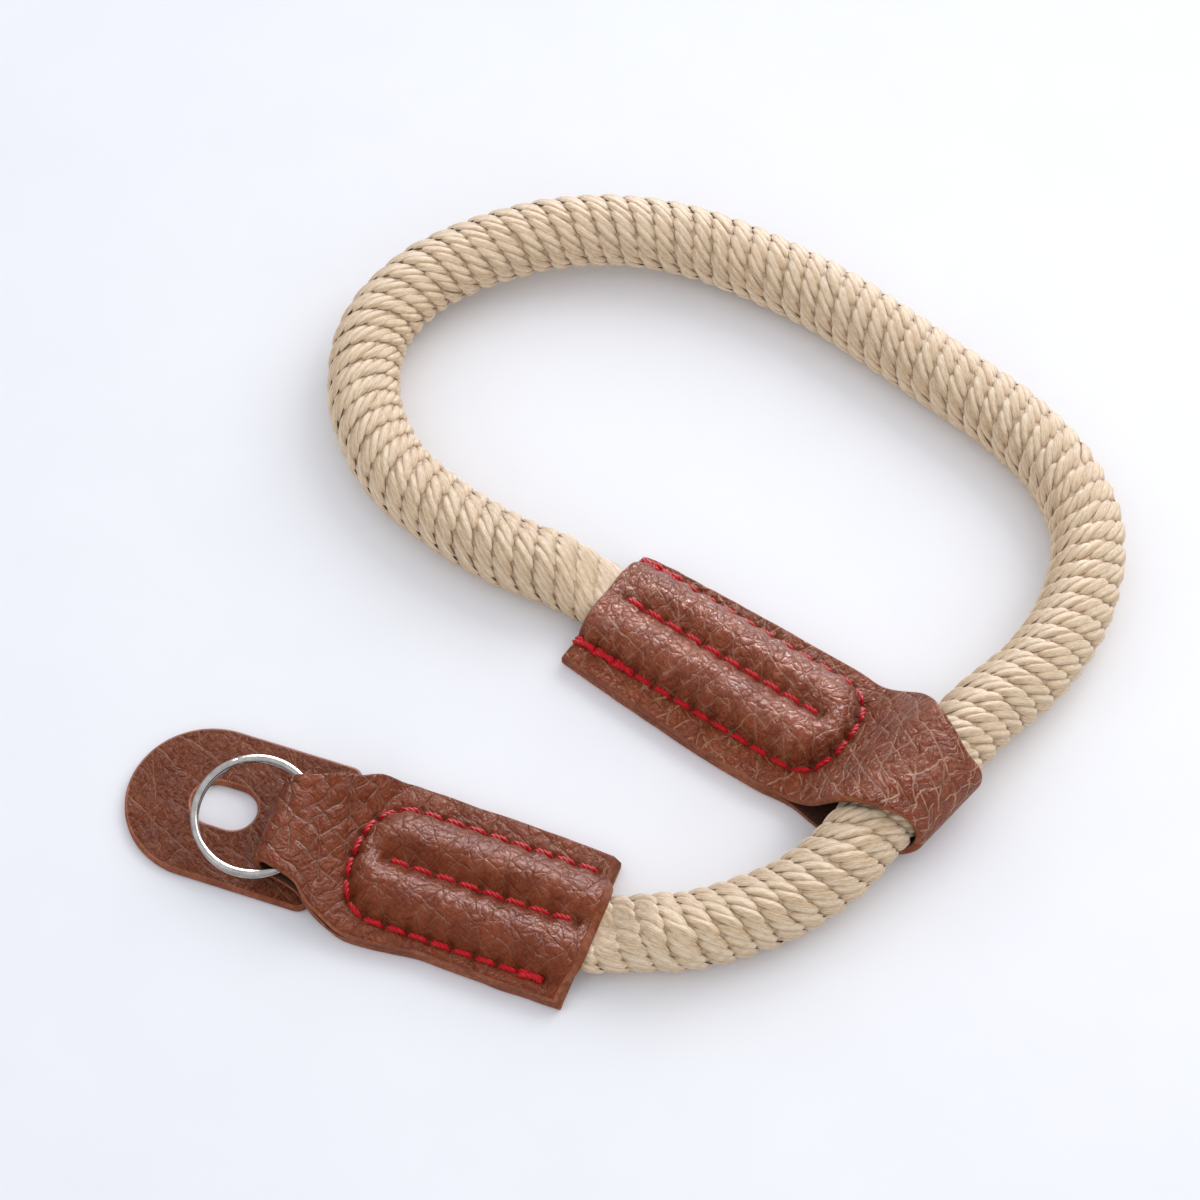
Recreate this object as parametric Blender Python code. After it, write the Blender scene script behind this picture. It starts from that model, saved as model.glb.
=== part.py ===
"""Rope wrist strap for a camera, lying flat on a table.

A braided rope is sewn at one end into a folded leather tab that holds a split ring, and at
the other end into a second folded strip, the slider, whose fold wraps round the rope, so
that the loop closes on the wrist. A loose leather pad lies under the ring.
Lengths are metres. +Z is up, the strap lies on the plane z = 0, and the origin is on the
flat underside of the slider.
"""

import math

import bmesh
import bpy
from mathutils import Matrix, Vector

MM = 0.001

# Shared stock and clearance
LEATHER = 1.3 * MM
CLEARANCE = 0.3 * MM
ROPE_DIAMETER = 10.0 * MM

# Split ring: two turns of flat wire, joined by one short step
RING_OUTER_DIAMETER = 16.6 * MM
RING_WIRE_WIDTH = 1.0 * MM
RING_WIRE_HEIGHT = 0.75 * MM
RING_TURN_GAP = 0.1 * MM
RING_TURNS = 1.97
RING_STEP_START = math.radians(118)
RING_STEP_SPAN = math.radians(46)
RING_SLOPE_OUTWARDS = 0.05

# Leather pad under the ring
PAD_LENGTH = 28.7 * MM
PAD_WIDTH = 21.9 * MM
PAD_CORNER = 1.6 * MM
PAD_SLOT_WIDTH = 6.35 * MM
PAD_SLOT_LENGTH = 9.4 * MM
PAD_SLOT_INSET = 11.1 * MM

# Ring tab, measured from its open mouth towards its fold
TAB_LENGTH = 44.0 * MM
TAB_HALF_WIDTH = 11.3 * MM
TAB_SEAM_HALF = 8.5 * MM
TAB_NECK = 11.8 * MM
TAB_SEAM_ROUND = 6.2 * MM
TAB_RIDGE = 3.7 * MM
TAB_CENTRE_SEAM_FROM_SEAM = 4.4 * MM
TAB_MOUTH_REACH = 7.0 * MM
TAB_FLAT = 4.2 * MM
TAB_RISE_BEFORE_SEAM_END = 2.6 * MM
TAB_LOWER_LIP = 0.3 * MM
TAB_MOUTH_X = -18.3 * MM
TAB_MOUTH_Y = -38.2 * MM
TAB_HEADING = math.radians(159.2)
TAB_NECK_SLOPE = 0.18

# Slider, measured the same way, with its origin point on the underside
SLIDER_LENGTH = 56.9 * MM
SLIDER_HALF_WIDTH = 10.6 * MM
SLIDER_SEAM_HALF = 7.7 * MM
SLIDER_NECK = 18.2 * MM
SLIDER_SEAM_ROUND = 5.8 * MM
SLIDER_SEAM_OFFSET = 0.45 * MM
SLIDER_RIDGE = 5.0 * MM
SLIDER_CENTRE_SEAM_FROM_SEAM = 4.5 * MM
SLIDER_MOUTH_REACH = 8.0 * MM
SLIDER_RISE_BEFORE_SEAM_END = 1.0 * MM
SLIDER_ORIGIN_FROM_MOUTH = 20.0 * MM
SLIDER_HEADING = math.radians(-35.5)

# Where the ring and the pad lie, measured along and across the tab
RING_FROM_FOLD = 1.9 * MM
RING_ACROSS = 0.85 * MM
PAD_END_FROM_FOLD = 8.1 * MM
PAD_ACROSS = -1.55 * MM
PAD_TURN = math.radians(1.6)

# Height of the sewn flanges: two layers of leather
FLANGE_TOP = 2 * LEATHER + CLEARANCE
PAD_TOP = LEATHER
RING_STACK = 2 * RING_WIRE_HEIGHT + RING_TURN_GAP

# Outline of each strip: along is a share of its length, left and right are shares of its
# half width, seen from above looking from the mouth to the fold.
TAB_OUTLINE = (
    {"along": 0.00, "left": 0.925, "right": 1.01},
    {"along": 0.20, "left": 0.93, "right": 1.04},
    {"along": 0.45, "left": 0.91, "right": 1.05},
    {"along": 0.60, "left": 0.985, "right": 1.055},
    {"along": 0.68, "left": 0.98, "right": 1.05},
    {"along": 0.74, "left": 0.91, "right": 0.98},
    {"along": 0.79, "left": 0.85, "right": 0.78},
    {"along": 0.85, "left": 0.69, "right": 0.66},
    {"along": 0.92, "left": 0.62, "right": 0.53},
    {"along": 1.00, "left": 0.57, "right": 0.44},
)
SLIDER_OUTLINE = (
    {"along": 0.00, "left": 0.85, "right": 0.95},
    {"along": 0.11, "left": 0.90, "right": 0.99},
    {"along": 0.40, "left": 0.97, "right": 1.06},
    {"along": 0.57, "left": 0.99, "right": 1.05},
    {"along": 0.66, "left": 0.95, "right": 0.98},
    {"along": 0.76, "left": 0.86, "right": 0.96},
    {"along": 0.84, "left": 0.64, "right": 0.91},
    {"along": 0.91, "left": 0.43, "right": 0.85},
    {"along": 0.96, "left": 0.34, "right": 0.80},
    {"along": 1.00, "left": 0.38, "right": 0.78},
)

# The rope's free route from the tab's mouth through the slider's eye and round to the
# slider's mouth, chosen by hand: x, y and how far the rope is lifted off the table, in millimetres.
ROPE_ROUTE = (
    (-7.9, -39.3, 0.0),
    (-3.1, -38.5, 0.0),
    (1.4, -37.0, 0.0),
    (5.8, -35.2, 0.1),
    (10.0, -32.7, 0.6),
    (13.8, -29.7, 1.2),
    (17.9, -24.8, 1.6),
    (22.4, -19.8, 1.6),
    (26.9, -14.8, 1.6),
    (33.2, -7.8, 1.1),
    (40.9, -0.1, 0.3),
    (46.7, 9.7, 0.0),
    (48.8, 21.0, 0.0),
    (45.5, 31.4, 0.0),
    (39.0, 39.7, 0.0),
    (31.2, 46.6, 0.0),
    (23.4, 53.4, 0.0),
    (15.1, 60.0, 0.1),
    (6.1, 65.3, 0.4),
    (-3.3, 69.3, 0.9),
    (-13.2, 71.1, 1.4),
    (-23.3, 70.5, 1.6),
    (-33.2, 67.5, 1.4),
    (-42.3, 62.4, 0.9),
    (-48.6, 53.6, 0.4),
    (-49.4, 42.2, 0.1),
    (-45.1, 31.5, 0.0),
    (-37.5, 23.8, 0.0),
    (-28.9, 17.9, 0.0),
)
ROPE_STEP = 0.65 * ROPE_DIAMETER
ROPE_FLARE = 9.0 * MM
# Places across the sewn rope, and across the leather's ridges, as shares of the seam's half width
ROPE_SHARES = (-0.84, -0.78, -0.66, -0.42, -0.18, 0.0, 0.18, 0.42, 0.66, 0.78, 0.84)


def smoothstep(value):
    """Ease from 0 to 1 with no slope at either end."""
    value = min(1.0, max(0.0, value))
    return value * value * (3.0 - 2.0 * value)


def mix(first, second, share):
    """Blend from first to second."""
    return first + (second - first) * share


def hermite(start, end, start_slope, end_slope, span, share):
    """Cubic between two heights with given slopes at both ends."""
    square = share * share
    cube = square * share
    return (
        start * (2 * cube - 3 * square + 1)
        + end * (3 * square - 2 * cube)
        + span * start_slope * (cube - 2 * square + share)
        + span * end_slope * (cube - square)
    )


def read(table, column, along):
    """Read a smooth value from a table whose rows are placed by their along share."""
    places = [row["along"] for row in table]
    values = [row[column] for row in table]
    if along <= places[0]:
        return values[0]
    if along >= places[-1]:
        return values[-1]
    index = next(i for i in range(len(places) - 1) if along <= places[i + 1])
    slopes = []
    for i in (index, index + 1):
        low = max(0, i - 1)
        high = min(len(places) - 1, i + 1)
        slopes.append((values[high] - values[low]) / (places[high] - places[low]))
    span = places[index + 1] - places[index]
    share = (along - places[index]) / span
    return hermite(values[index], values[index + 1], slopes[0], slopes[1], span, share)


class Sleeve:
    """A leather strip folded back on itself, with a rope end sewn between its two layers.

    Local coordinates: along runs from the open mouth to the fold, across points left of
    that direction, and height is +Z.
    """

    def __init__(self, sizes):
        self.__dict__.update(sizes)
        self.radius = self.fold_inner + LEATHER
        self.fold_centre = self.length - self.radius
        self.fold_height = self.fold_floor + self.radius
        self.axis = Vector((math.cos(self.heading), math.sin(self.heading)))
        self.side = Vector((-self.axis.y, self.axis.x))
        self.join_slope = -1.0 / math.tan(self.join_angle)
        self.join_along = self.fold_centre + self.radius * math.cos(self.join_angle) - self.flat
        round_height = self.fold_height + self.radius * math.sin(self.join_angle)
        self.join_height = round_height - self.join_slope * self.flat

    def world(self, along, across, height):
        """Turn local coordinates into the strap's own frame."""
        flat = self.mouth + self.axis * along + self.side * across
        return Vector((flat.x, flat.y, height))

    def local(self, point):
        """Along and across of a point given in the strap's own frame."""
        offset = Vector((point.x, point.y)) - self.mouth
        return offset.dot(self.axis), offset.dot(self.side)

    def edge(self, along, column):
        """Distance from the centre line to the left or right edge."""
        return self.half_width * read(self.outline, column, along / self.length)

    def fold_share(self, along):
        """0 over the sewn body, rising to 1 at the fold."""
        return smoothstep((along - self.rise_start) / (self.join_along - self.rise_start))

    def lean(self, along, across):
        """Extra height towards the right where the neck is twisted, from its left edge."""
        from_left = self.edge(self.length, "left") - across
        return self.twist * max(0.0, from_left) * self.fold_share(along)

    def seam_radius(self, along, across):
        """1 on the outer seam, less inside it, more outside it."""
        wide = abs(across - self.seam_offset) / self.seam_half
        deep = max(0.0, (along - (self.seam_end - self.seam_round)) / self.seam_round)
        return (wide**2.4 + deep**2.4) ** (1 / 2.4)

    def ridge_height(self, along, across):
        """Height of the two ridges that the rope end raises, above the flanges."""
        radius = self.seam_radius(along, across)
        if radius >= 1.0:
            return 0.0
        opening = smoothstep(along / self.mouth_reach)
        crest = self.ridge * mix(self.mouth_ridge, 1.0, opening)
        fade = smoothstep((self.seam_end - 1.0 * MM - along) / (self.seam_end - self.centre_seam_end))
        depth = self.valley * mix(self.mouth_valley, 1.0, opening) * fade
        from_centre = (across - self.seam_offset) / self.seam_half
        groove = depth * math.exp(-((from_centre / 0.24) ** 2))
        return crest * (1.0 - radius**4) * (1.0 - groove)

    def top(self, along):
        """Height of the upper layer's outer face, leaving out the ridges."""
        if along <= self.rise_start:
            return FLANGE_TOP
        span = self.join_along - self.rise_start
        share = min(1.0, (along - self.rise_start) / span)
        return hermite(FLANGE_TOP, self.join_height, 0.0, self.join_slope, span, share)

    def bottom(self, along):
        """Height of the lower layer's outer face."""
        return self.fold_floor * smoothstep((along - self.step_start) / (self.step_end - self.step_start))

    def cavity_top(self, along, across):
        """Height of the upper layer's inner face over the sewn rope end."""
        lowest = self.ridge_height(along, across) - LEATHER
        for reach in (0.5, 0.8, 0.96):
            drop = LEATHER * math.sqrt(1.0 - reach**2)
            for k in range(12):
                turn = math.tau * k / 12
                ahead = along + LEATHER * reach * math.cos(turn)
                aside = across + LEATHER * reach * math.sin(turn)
                lowest = min(lowest, self.ridge_height(ahead, aside) - drop)
        return FLANGE_TOP + lowest

    def stations(self):
        """Outer path of the strip: over the upper layer, round the fold and back below."""
        path = []
        body = [self.rise_start * i / 15 for i in range(16)]
        climb = [mix(self.rise_start, self.join_along, i / 5) for i in range(1, 6)]
        for along in body + climb:
            path.append((along, self.top(along), True))
        for i in range(0 if self.flat else 1, 10):
            angle = mix(self.join_angle, -math.pi / 2, i / 9)
            along = self.fold_centre + self.radius * math.cos(angle)
            height = self.fold_height + self.radius * math.sin(angle)
            path.append((along, height, False))
        for share in (0.5, 1.0):
            along = mix(self.fold_centre, self.step_end, share)
            path.append((along, self.bottom(along), False))
        for share in (0.25, 0.5, 0.75, 1.0):
            along = mix(self.step_end, self.step_start, share)
            path.append((along, self.bottom(along), False))
        for i in range(1, 7):
            path.append((mix(self.step_start, -self.lower_lip, i / 6), 0.0, False))
        return path

    def columns(self, along):
        """Positions across the strip: its two edges, both seams and points between them."""
        left = self.edge(max(0.0, along), "left")
        right = self.edge(max(0.0, along), "right")
        inner = [-1.0, -0.9] + list(ROPE_SHARES[1:-1]) + [0.9, 1.0]
        middle = self.seam_offset
        room_left = min(self.seam_half, 0.8 * (left - middle))
        room_right = min(self.seam_half, 0.8 * (right + middle))
        places = [middle + share * (room_left if share > 0 else room_right) for share in inner]
        return [-right] + places + [left]

    def outer_grid(self):
        """Points of the strip's outer face, one row for each station."""
        grid = []
        for along, height, is_upper in self.stations():
            row = []
            for across in self.columns(along):
                ridge = self.ridge_height(along, across) if is_upper else 0.0
                skewed = along + self.skew * across * self.fold_share(along)
                row.append(Vector((skewed, across, height + ridge + self.lean(along, across))))
            grid.append(row)
        return grid


def grid_normals(grid):
    """Unit normals of a grid of points, pointing to the strip's outer side."""
    normals = []
    last_row = len(grid) - 1
    last_column = len(grid[0]) - 1
    for i in range(last_row + 1):
        row = []
        for j in range(last_column + 1):
            forward = grid[min(i + 1, last_row)][j] - grid[max(i - 1, 0)][j]
            sideways = grid[i][min(j + 1, last_column)] - grid[i][max(j - 1, 0)]
            row.append(forward.cross(sideways).normalized())
        normals.append(row)
    return normals


def material(name, colour, roughness, metallic):
    """A plain Principled material."""
    made = bpy.data.materials.new(name)
    made.use_nodes = True
    shader = made.node_tree.nodes["Principled BSDF"]
    shader.inputs["Base Color"].default_value = (*colour, 1.0)
    shader.inputs["Roughness"].default_value = roughness
    shader.inputs["Metallic"].default_value = metallic
    return made


def finish_mesh(name, mesh, surface, sharp_angle=40.0):
    """Close a bmesh into a named, smooth shaded object."""
    bmesh.ops.recalc_face_normals(mesh, faces=mesh.faces)
    data = bpy.data.meshes.new(name)
    mesh.to_mesh(data)
    mesh.free()
    data.shade_smooth()
    data.set_sharp_from_angle(angle=math.radians(sharp_angle))
    data.materials.append(surface)
    made = bpy.data.objects.new(name, data)
    bpy.context.scene.collection.objects.link(made)
    return made


def loft(mesh, sections):
    """Skin a list of closed sections that have equal point counts, and cap both ends."""
    rings = [[mesh.verts.new(point) for point in section] for section in sections]
    count = len(rings[0])
    for ring, following in zip(rings, rings[1:]):
        for k in range(count):
            step = (k + 1) % count
            mesh.faces.new((ring[k], ring[step], following[step], following[k]))
    mesh.faces.new(reversed(rings[0]))
    mesh.faces.new(rings[-1])


def make_sleeve(name, sleeve, surface):
    """The folded strip as one solid: each row of it is a closed section of the leather."""
    outer = sleeve.outer_grid()
    normals = grid_normals(outer)
    sections = []
    for outer_row, normal_row in zip(outer, normals):
        inner_row = [point - normal * LEATHER for point, normal in zip(outer_row, normal_row)]
        loop = outer_row + inner_row[::-1]
        sections.append([sleeve.world(*point) for point in loop])
    mesh = bmesh.new()
    loft(mesh, sections)
    return finish_mesh(name, mesh, surface)


def catmull_rom(points, spacing):
    """Points at even spacing along a smooth curve through the given points."""
    ends = [points[0] * 2 - points[1]] + list(points) + [points[-1] * 2 - points[-2]]
    dense = []
    for before, start, end, after in zip(ends, ends[1:], ends[2:], ends[3:]):
        span = (end - start).length
        start_slope = (end - before) / (span + (start - before).length)
        end_slope = (after - start) / (span + (after - end).length)
        for i in range(24):
            dense.append(hermite(start, end, start_slope, end_slope, span, i / 24))
    dense.append(points[-1].copy())
    lengths = [0.0]
    for first, second in zip(dense, dense[1:]):
        lengths.append(lengths[-1] + (second - first).length)
    count = max(2, round(lengths[-1] / spacing))
    even = []
    index = 0
    for i in range(count + 1):
        wanted = lengths[-1] * i / count
        while index < len(dense) - 2 and lengths[index + 1] < wanted:
            index += 1
        span = lengths[index + 1] - lengths[index]
        even.append(dense[index].lerp(dense[index + 1], (wanted - lengths[index]) / span))
    return even


def rope_centreline(tab, slider, spacing):
    """The whole rope's axis, from its sewn end in the tab to its sewn end in the slider."""
    height = ROPE_DIAMETER / 2
    in_tab = [tab.length * share for share in (0.6, 0.4, 0.2, 0.0)]
    in_slider = [slider.length * share for share in (0.0, 0.2, 0.4, 0.58)]
    route = [tab.world(along, tab.seam_offset, height) for along in in_tab]
    route += [Vector((x * MM, y * MM, height + lift * MM)) for x, y, lift in ROPE_ROUTE]
    route += [slider.world(along, slider.seam_offset, height) for along in in_slider]
    return catmull_rom(route, spacing)


def rope_section(sleeve, point, direction):
    """Section of the sewn rope: pressed flat in the sleeve, round where it has left it."""
    radius = ROPE_DIAMETER / 2
    side = Vector((-direction.y, direction.x)).normalized()
    along, _ = sleeve.local(point)
    outside = smoothstep(-along / ROPE_FLARE)
    narrow = mix(0.76, 1.0, smoothstep(along / sleeve.mouth_reach))
    past = max(0.0, (along - (sleeve.seam_end - sleeve.seam_round)) / sleeve.seam_round)
    narrow *= 1.0 - 0.5 * min(1.0, past) ** 2
    floor = LEATHER + CLEARANCE
    axis_height = max(radius, point.z)
    loop = [(share, 1) for share in ROPE_SHARES] + [(share, -1) for share in ROPE_SHARES[-2:0:-1]]
    section = []
    for share, level in loop:
        flat = sleeve.seam_half * share * narrow
        place = Vector((point.x, point.y)) + side * flat
        in_along, in_across = sleeve.local(place)
        roof = sleeve.cavity_top(max(0.0, in_along), in_across) - 1.5 * CLEARANCE
        pressed = roof if level > 0 else floor
        if abs(share) == ROPE_SHARES[-1]:
            pressed = mix(floor, roof, 0.5)
        around = share / ROPE_SHARES[-1]
        round_height = axis_height + level * radius * math.sqrt(1 - around**2)
        offset = mix(flat, radius * around, outside)
        height = mix(pressed, round_height, outside)
        section.append(Vector((point.x + side.x * offset, point.y + side.y * offset, height)))
    return section


def make_rope_end(name, sleeve, points, surface):
    """A sewn end of the rope, as one solid up to the last point but one."""
    sections = []
    for i, point in enumerate(points[:-1]):
        direction = points[i + 1] - points[max(i - 1, 0)]
        sections.append(rope_section(sleeve, point, direction))
    mesh = bmesh.new()
    loft(mesh, sections)
    return finish_mesh(name, mesh, surface, 60.0)


def make_rope(name, points, surface):
    """The free stretch of the rope as a round tube."""
    curve = bpy.data.curves.new(name, "CURVE")
    curve.dimensions = "3D"
    curve.bevel_depth = ROPE_DIAMETER / 2
    curve.bevel_resolution = 3
    curve.use_fill_caps = True
    spline = curve.splines.new("POLY")
    spline.points.add(len(points) - 1)
    for target, point in zip(spline.points, points):
        target.co = (*point, 1.0)
    spline.use_smooth = True
    curve.materials.append(surface)
    made = bpy.data.objects.new(name, curve)
    bpy.context.scene.collection.objects.link(made)
    return made


def make_ring(name, tab, surface):
    """Split ring: flat wire wound nearly twice, tilted as it hangs in the tab's fold."""
    middle = (RING_OUTER_DIAMETER - RING_WIRE_WIDTH) / 2
    pitch = RING_WIRE_HEIGHT + RING_TURN_GAP
    half_width = RING_WIRE_WIDTH / 2
    half_height = RING_WIRE_HEIGHT / 2
    chamfer = 0.45
    profile = (
        (-1, -chamfer), (-chamfer, -1), (chamfer, -1), (1, -chamfer),
        (1, chamfer), (chamfer, 1), (-chamfer, 1), (-1, chamfer),
    )
    steps = round(RING_TURNS * 36)
    sections = []
    for i in range(steps + 1):
        turned = RING_TURNS * math.tau * i / steps
        turn_count = math.floor(turned / math.tau)
        within = turned - turn_count * math.tau
        lift = smoothstep((within - math.tau + RING_STEP_SPAN) / RING_STEP_SPAN)
        height = pitch * (turn_count + lift * (turn_count < 1) - 0.5)
        angle = RING_STEP_START + turned
        outward = Vector((math.cos(angle), math.sin(angle), 0.0))
        section = []
        for wide, high in profile:
            distance = middle + half_width * wide
            section.append(outward * distance + Vector((0, 0, height + half_height * high)))
        sections.append(section)
    mesh = bmesh.new()
    loft(mesh, sections)
    made = finish_mesh(name, mesh, surface, 50.0)

    along = tab.length + RING_FROM_FOLD
    centre = tab.world(along, RING_ACROSS, 0.0)
    in_fold = tab.fold_height + tab.lean(tab.length, RING_ACROSS)
    height = in_fold + RING_SLOPE_OUTWARDS * (along - tab.fold_centre)
    slope = tab.side * -tab.twist + tab.axis * RING_SLOPE_OUTWARDS
    normal = Vector((-slope.x, -slope.y, 1.0)).normalized()
    made.location = (centre.x, centre.y, height)
    made.rotation_mode = "QUATERNION"
    made.rotation_quaternion = Vector((0, 0, 1)).rotation_difference(normal)
    return made


def pad_outline(length, width, corner):
    """Outline with a straight inner end, whose corners are small, and a half round outer end."""
    radius = width / 2
    points = []
    for i in range(4):
        angle = math.pi + math.pi / 2 * i / 3
        points.append((corner + corner * math.cos(angle), corner - radius + corner * math.sin(angle)))
    for i in range(17):
        angle = -math.pi / 2 + math.pi * i / 16
        points.append((length - radius + radius * math.cos(angle), radius * math.sin(angle)))
    for i in range(4):
        angle = math.pi / 2 + math.pi / 2 * i / 3
        points.append((corner + corner * math.cos(angle), radius - corner + corner * math.sin(angle)))
    return points


def slot_outline(length, width, inset):
    """Slot outline: a bar with two round ends."""
    radius = width / 2
    points = []
    for start, centre in ((-math.pi / 2, inset + length - radius), (math.pi / 2, inset + radius)):
        for i in range(9):
            angle = start + math.pi * i / 8
            points.append((centre + radius * math.cos(angle), radius * math.sin(angle)))
    return points


def plate(name, outline, bottom, top, surface):
    """A flat plate extruded from an outline."""
    mesh = bmesh.new()
    face = mesh.faces.new([mesh.verts.new((x, y, bottom)) for x, y in outline])
    lifted = bmesh.ops.extrude_face_region(mesh, geom=[face])
    raised = [item for item in lifted["geom"] if isinstance(item, bmesh.types.BMVert)]
    bmesh.ops.translate(mesh, vec=(0, 0, top - bottom), verts=raised)
    return finish_mesh(name, mesh, surface)


def make_pad(name, tab, surface):
    """Leather pad with one slot, lying flat under the ring and the tab's neck."""
    made = plate(name, pad_outline(PAD_LENGTH, PAD_WIDTH, PAD_CORNER), 0.0, PAD_TOP, surface)
    slot = slot_outline(PAD_SLOT_LENGTH, PAD_SLOT_WIDTH, PAD_SLOT_INSET)
    cutter = plate(name + "_slot", slot, -LEATHER, PAD_TOP + LEATHER, surface)
    cutter.hide_render = True
    cutter.display_type = "WIRE"
    cut = made.modifiers.new("slot", "BOOLEAN")
    cut.object = cutter
    cut.operation = "DIFFERENCE"
    cut.solver = "EXACT"
    start = tab.world(tab.length - PAD_END_FROM_FOLD, PAD_ACROSS, 0.0)
    placed = Matrix.Translation(start) @ Matrix.Rotation(tab.heading + PAD_TURN, 4, "Z")
    for piece in (made, cutter):
        piece.matrix_world = placed
    return made


def tab_sleeve():
    """Sizes of the ring tab, whose fold holds the ring and whose neck lies on the pad."""
    seam_end = TAB_LENGTH - TAB_NECK
    return Sleeve({
        "mouth": Vector((TAB_MOUTH_X, TAB_MOUTH_Y)),
        "heading": TAB_HEADING,
        "length": TAB_LENGTH,
        "half_width": TAB_HALF_WIDTH,
        "outline": TAB_OUTLINE,
        "seam_half": TAB_SEAM_HALF,
        "seam_offset": 0.0,
        "seam_end": seam_end,
        "seam_round": TAB_SEAM_ROUND,
        "centre_seam_end": seam_end - TAB_CENTRE_SEAM_FROM_SEAM,
        "ridge": TAB_RIDGE,
        "valley": 0.62,
        "mouth_ridge": 0.85,
        "mouth_valley": 0.6,
        "mouth_reach": TAB_MOUTH_REACH,
        "fold_inner": RING_STACK / 2 + CLEARANCE,
        "fold_floor": PAD_TOP + CLEARANCE,
        "flat": TAB_FLAT,
        "join_angle": math.radians(96),
        "rise_start": seam_end - TAB_RISE_BEFORE_SEAM_END,
        "step_start": seam_end,
        "step_end": TAB_LENGTH - PAD_END_FROM_FOLD - CLEARANCE,
        "skew": 0.0,
        "twist": TAB_NECK_SLOPE,
        "lower_lip": TAB_LOWER_LIP,
    })


def slider_sleeve():
    """Sizes of the slider, whose fold fits round the rope."""
    seam_end = SLIDER_LENGTH - SLIDER_NECK
    axis = Vector((math.cos(SLIDER_HEADING), math.sin(SLIDER_HEADING)))
    return Sleeve({
        "mouth": axis * -SLIDER_ORIGIN_FROM_MOUTH,
        "heading": SLIDER_HEADING,
        "length": SLIDER_LENGTH,
        "half_width": SLIDER_HALF_WIDTH,
        "outline": SLIDER_OUTLINE,
        "seam_half": SLIDER_SEAM_HALF,
        "seam_offset": SLIDER_SEAM_OFFSET,
        "seam_end": seam_end,
        "seam_round": SLIDER_SEAM_ROUND,
        "centre_seam_end": seam_end - SLIDER_CENTRE_SEAM_FROM_SEAM,
        "ridge": SLIDER_RIDGE,
        "valley": 0.42,
        "mouth_ridge": 0.66,
        "mouth_valley": 0.2,
        "mouth_reach": SLIDER_MOUTH_REACH,
        "fold_inner": ROPE_DIAMETER / 2 + 2 * CLEARANCE,
        "fold_floor": 0.0,
        "flat": 0.0,
        "join_angle": math.radians(118),
        "rise_start": seam_end - SLIDER_RISE_BEFORE_SEAM_END,
        "step_start": seam_end,
        "step_end": seam_end + LEATHER,
        "skew": 0.112,
        "twist": 0.0,
        "lower_lip": 0.0,
    })


def split_route(tab, slider):
    """Cut the centre line into the sewn end in the tab, the free stretch and the other end."""
    points = rope_centreline(tab, slider, ROPE_STEP / 3)
    leaves_tab = next(i for i, p in enumerate(points) if tab.local(p)[0] < -ROPE_FLARE)
    turned = points[::-1]
    leaves_slider = next(i for i, p in enumerate(turned) if slider.local(p)[0] < -ROPE_FLARE)
    last = len(points) - 1 - leaves_slider
    count = round((last - leaves_tab) / 3)
    free = [points[round(mix(leaves_tab, last, i / count))] for i in range(count + 1)]
    leaving = (points[leaves_tab + 1] - points[leaves_tab - 1]).normalized()
    arriving = (points[last + 1] - points[last - 1]).normalized()
    free[0] = points[leaves_tab] + leaving * CLEARANCE
    free[-1] = points[last] - arriving * CLEARANCE
    free.insert(1, points[leaves_tab] + leaving * ROPE_STEP / 4)
    free.insert(-1, points[last] - arriving * ROPE_STEP / 4)
    return points[:leaves_tab + 2], free, turned[:leaves_slider + 2]


def build():
    """Make every piece of the strap."""
    for old in list(bpy.data.objects):
        bpy.data.objects.remove(old, do_unlink=True)
    leather = material("leather", (0.21, 0.062, 0.030), 0.5, 0.0)
    rope = material("rope", (0.62, 0.47, 0.29), 0.75, 0.0)
    steel = material("steel", (0.75, 0.74, 0.72), 0.25, 1.0)
    tab = tab_sleeve()
    slider = slider_sleeve()
    tab_end, free, slider_end = split_route(tab, slider)
    make_sleeve("ring_tab", tab, leather)
    make_sleeve("slider", slider, leather)
    make_rope_end("rope_end_tab", tab, tab_end, rope)
    make_rope("rope", free, rope)
    make_rope_end("rope_end_slider", slider, slider_end, rope)
    make_ring("split_ring", tab, steel)
    make_pad("ring_pad", tab, leather)


build()
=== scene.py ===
"""Looks of the rope wrist strap: braided rope, grained leather, sewing thread and steel ring.

Every object is in metres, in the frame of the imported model. The leather strips repeat the
shapes of the source's folded sleeves, with seams, grooves, rounded cut edges and grain.
"""
import math

import bpy
from mathutils import Matrix, Vector, kdtree, noise


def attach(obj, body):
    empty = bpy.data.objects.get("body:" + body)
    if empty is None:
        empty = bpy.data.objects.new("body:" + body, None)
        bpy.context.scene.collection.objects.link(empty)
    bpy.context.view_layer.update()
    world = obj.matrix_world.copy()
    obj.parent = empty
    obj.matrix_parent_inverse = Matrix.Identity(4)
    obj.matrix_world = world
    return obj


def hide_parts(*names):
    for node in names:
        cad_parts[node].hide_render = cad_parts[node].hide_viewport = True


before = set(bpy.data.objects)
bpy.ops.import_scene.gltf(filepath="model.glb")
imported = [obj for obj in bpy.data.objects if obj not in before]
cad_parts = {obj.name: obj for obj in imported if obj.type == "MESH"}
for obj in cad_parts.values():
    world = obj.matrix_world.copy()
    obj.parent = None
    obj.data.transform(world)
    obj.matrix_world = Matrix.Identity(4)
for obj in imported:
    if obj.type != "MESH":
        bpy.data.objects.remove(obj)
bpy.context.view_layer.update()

MM = 0.001
SCENE = bpy.context.scene

# Thickness of the leather, and the gap between two sewn layers
LEATHER = 1.3 * MM
CLEARANCE = 0.3 * MM
# The rope's radius, and how far from a mouth it is round again
ROPE_RADIUS = 5.0 * MM
ROPE_FLARE = 9.0 * MM
# Heights of the sewn flanges and of the pad
FLANGE_TOP = 2 * LEATHER + CLEARANCE
PAD_TOP = LEATHER
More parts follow.
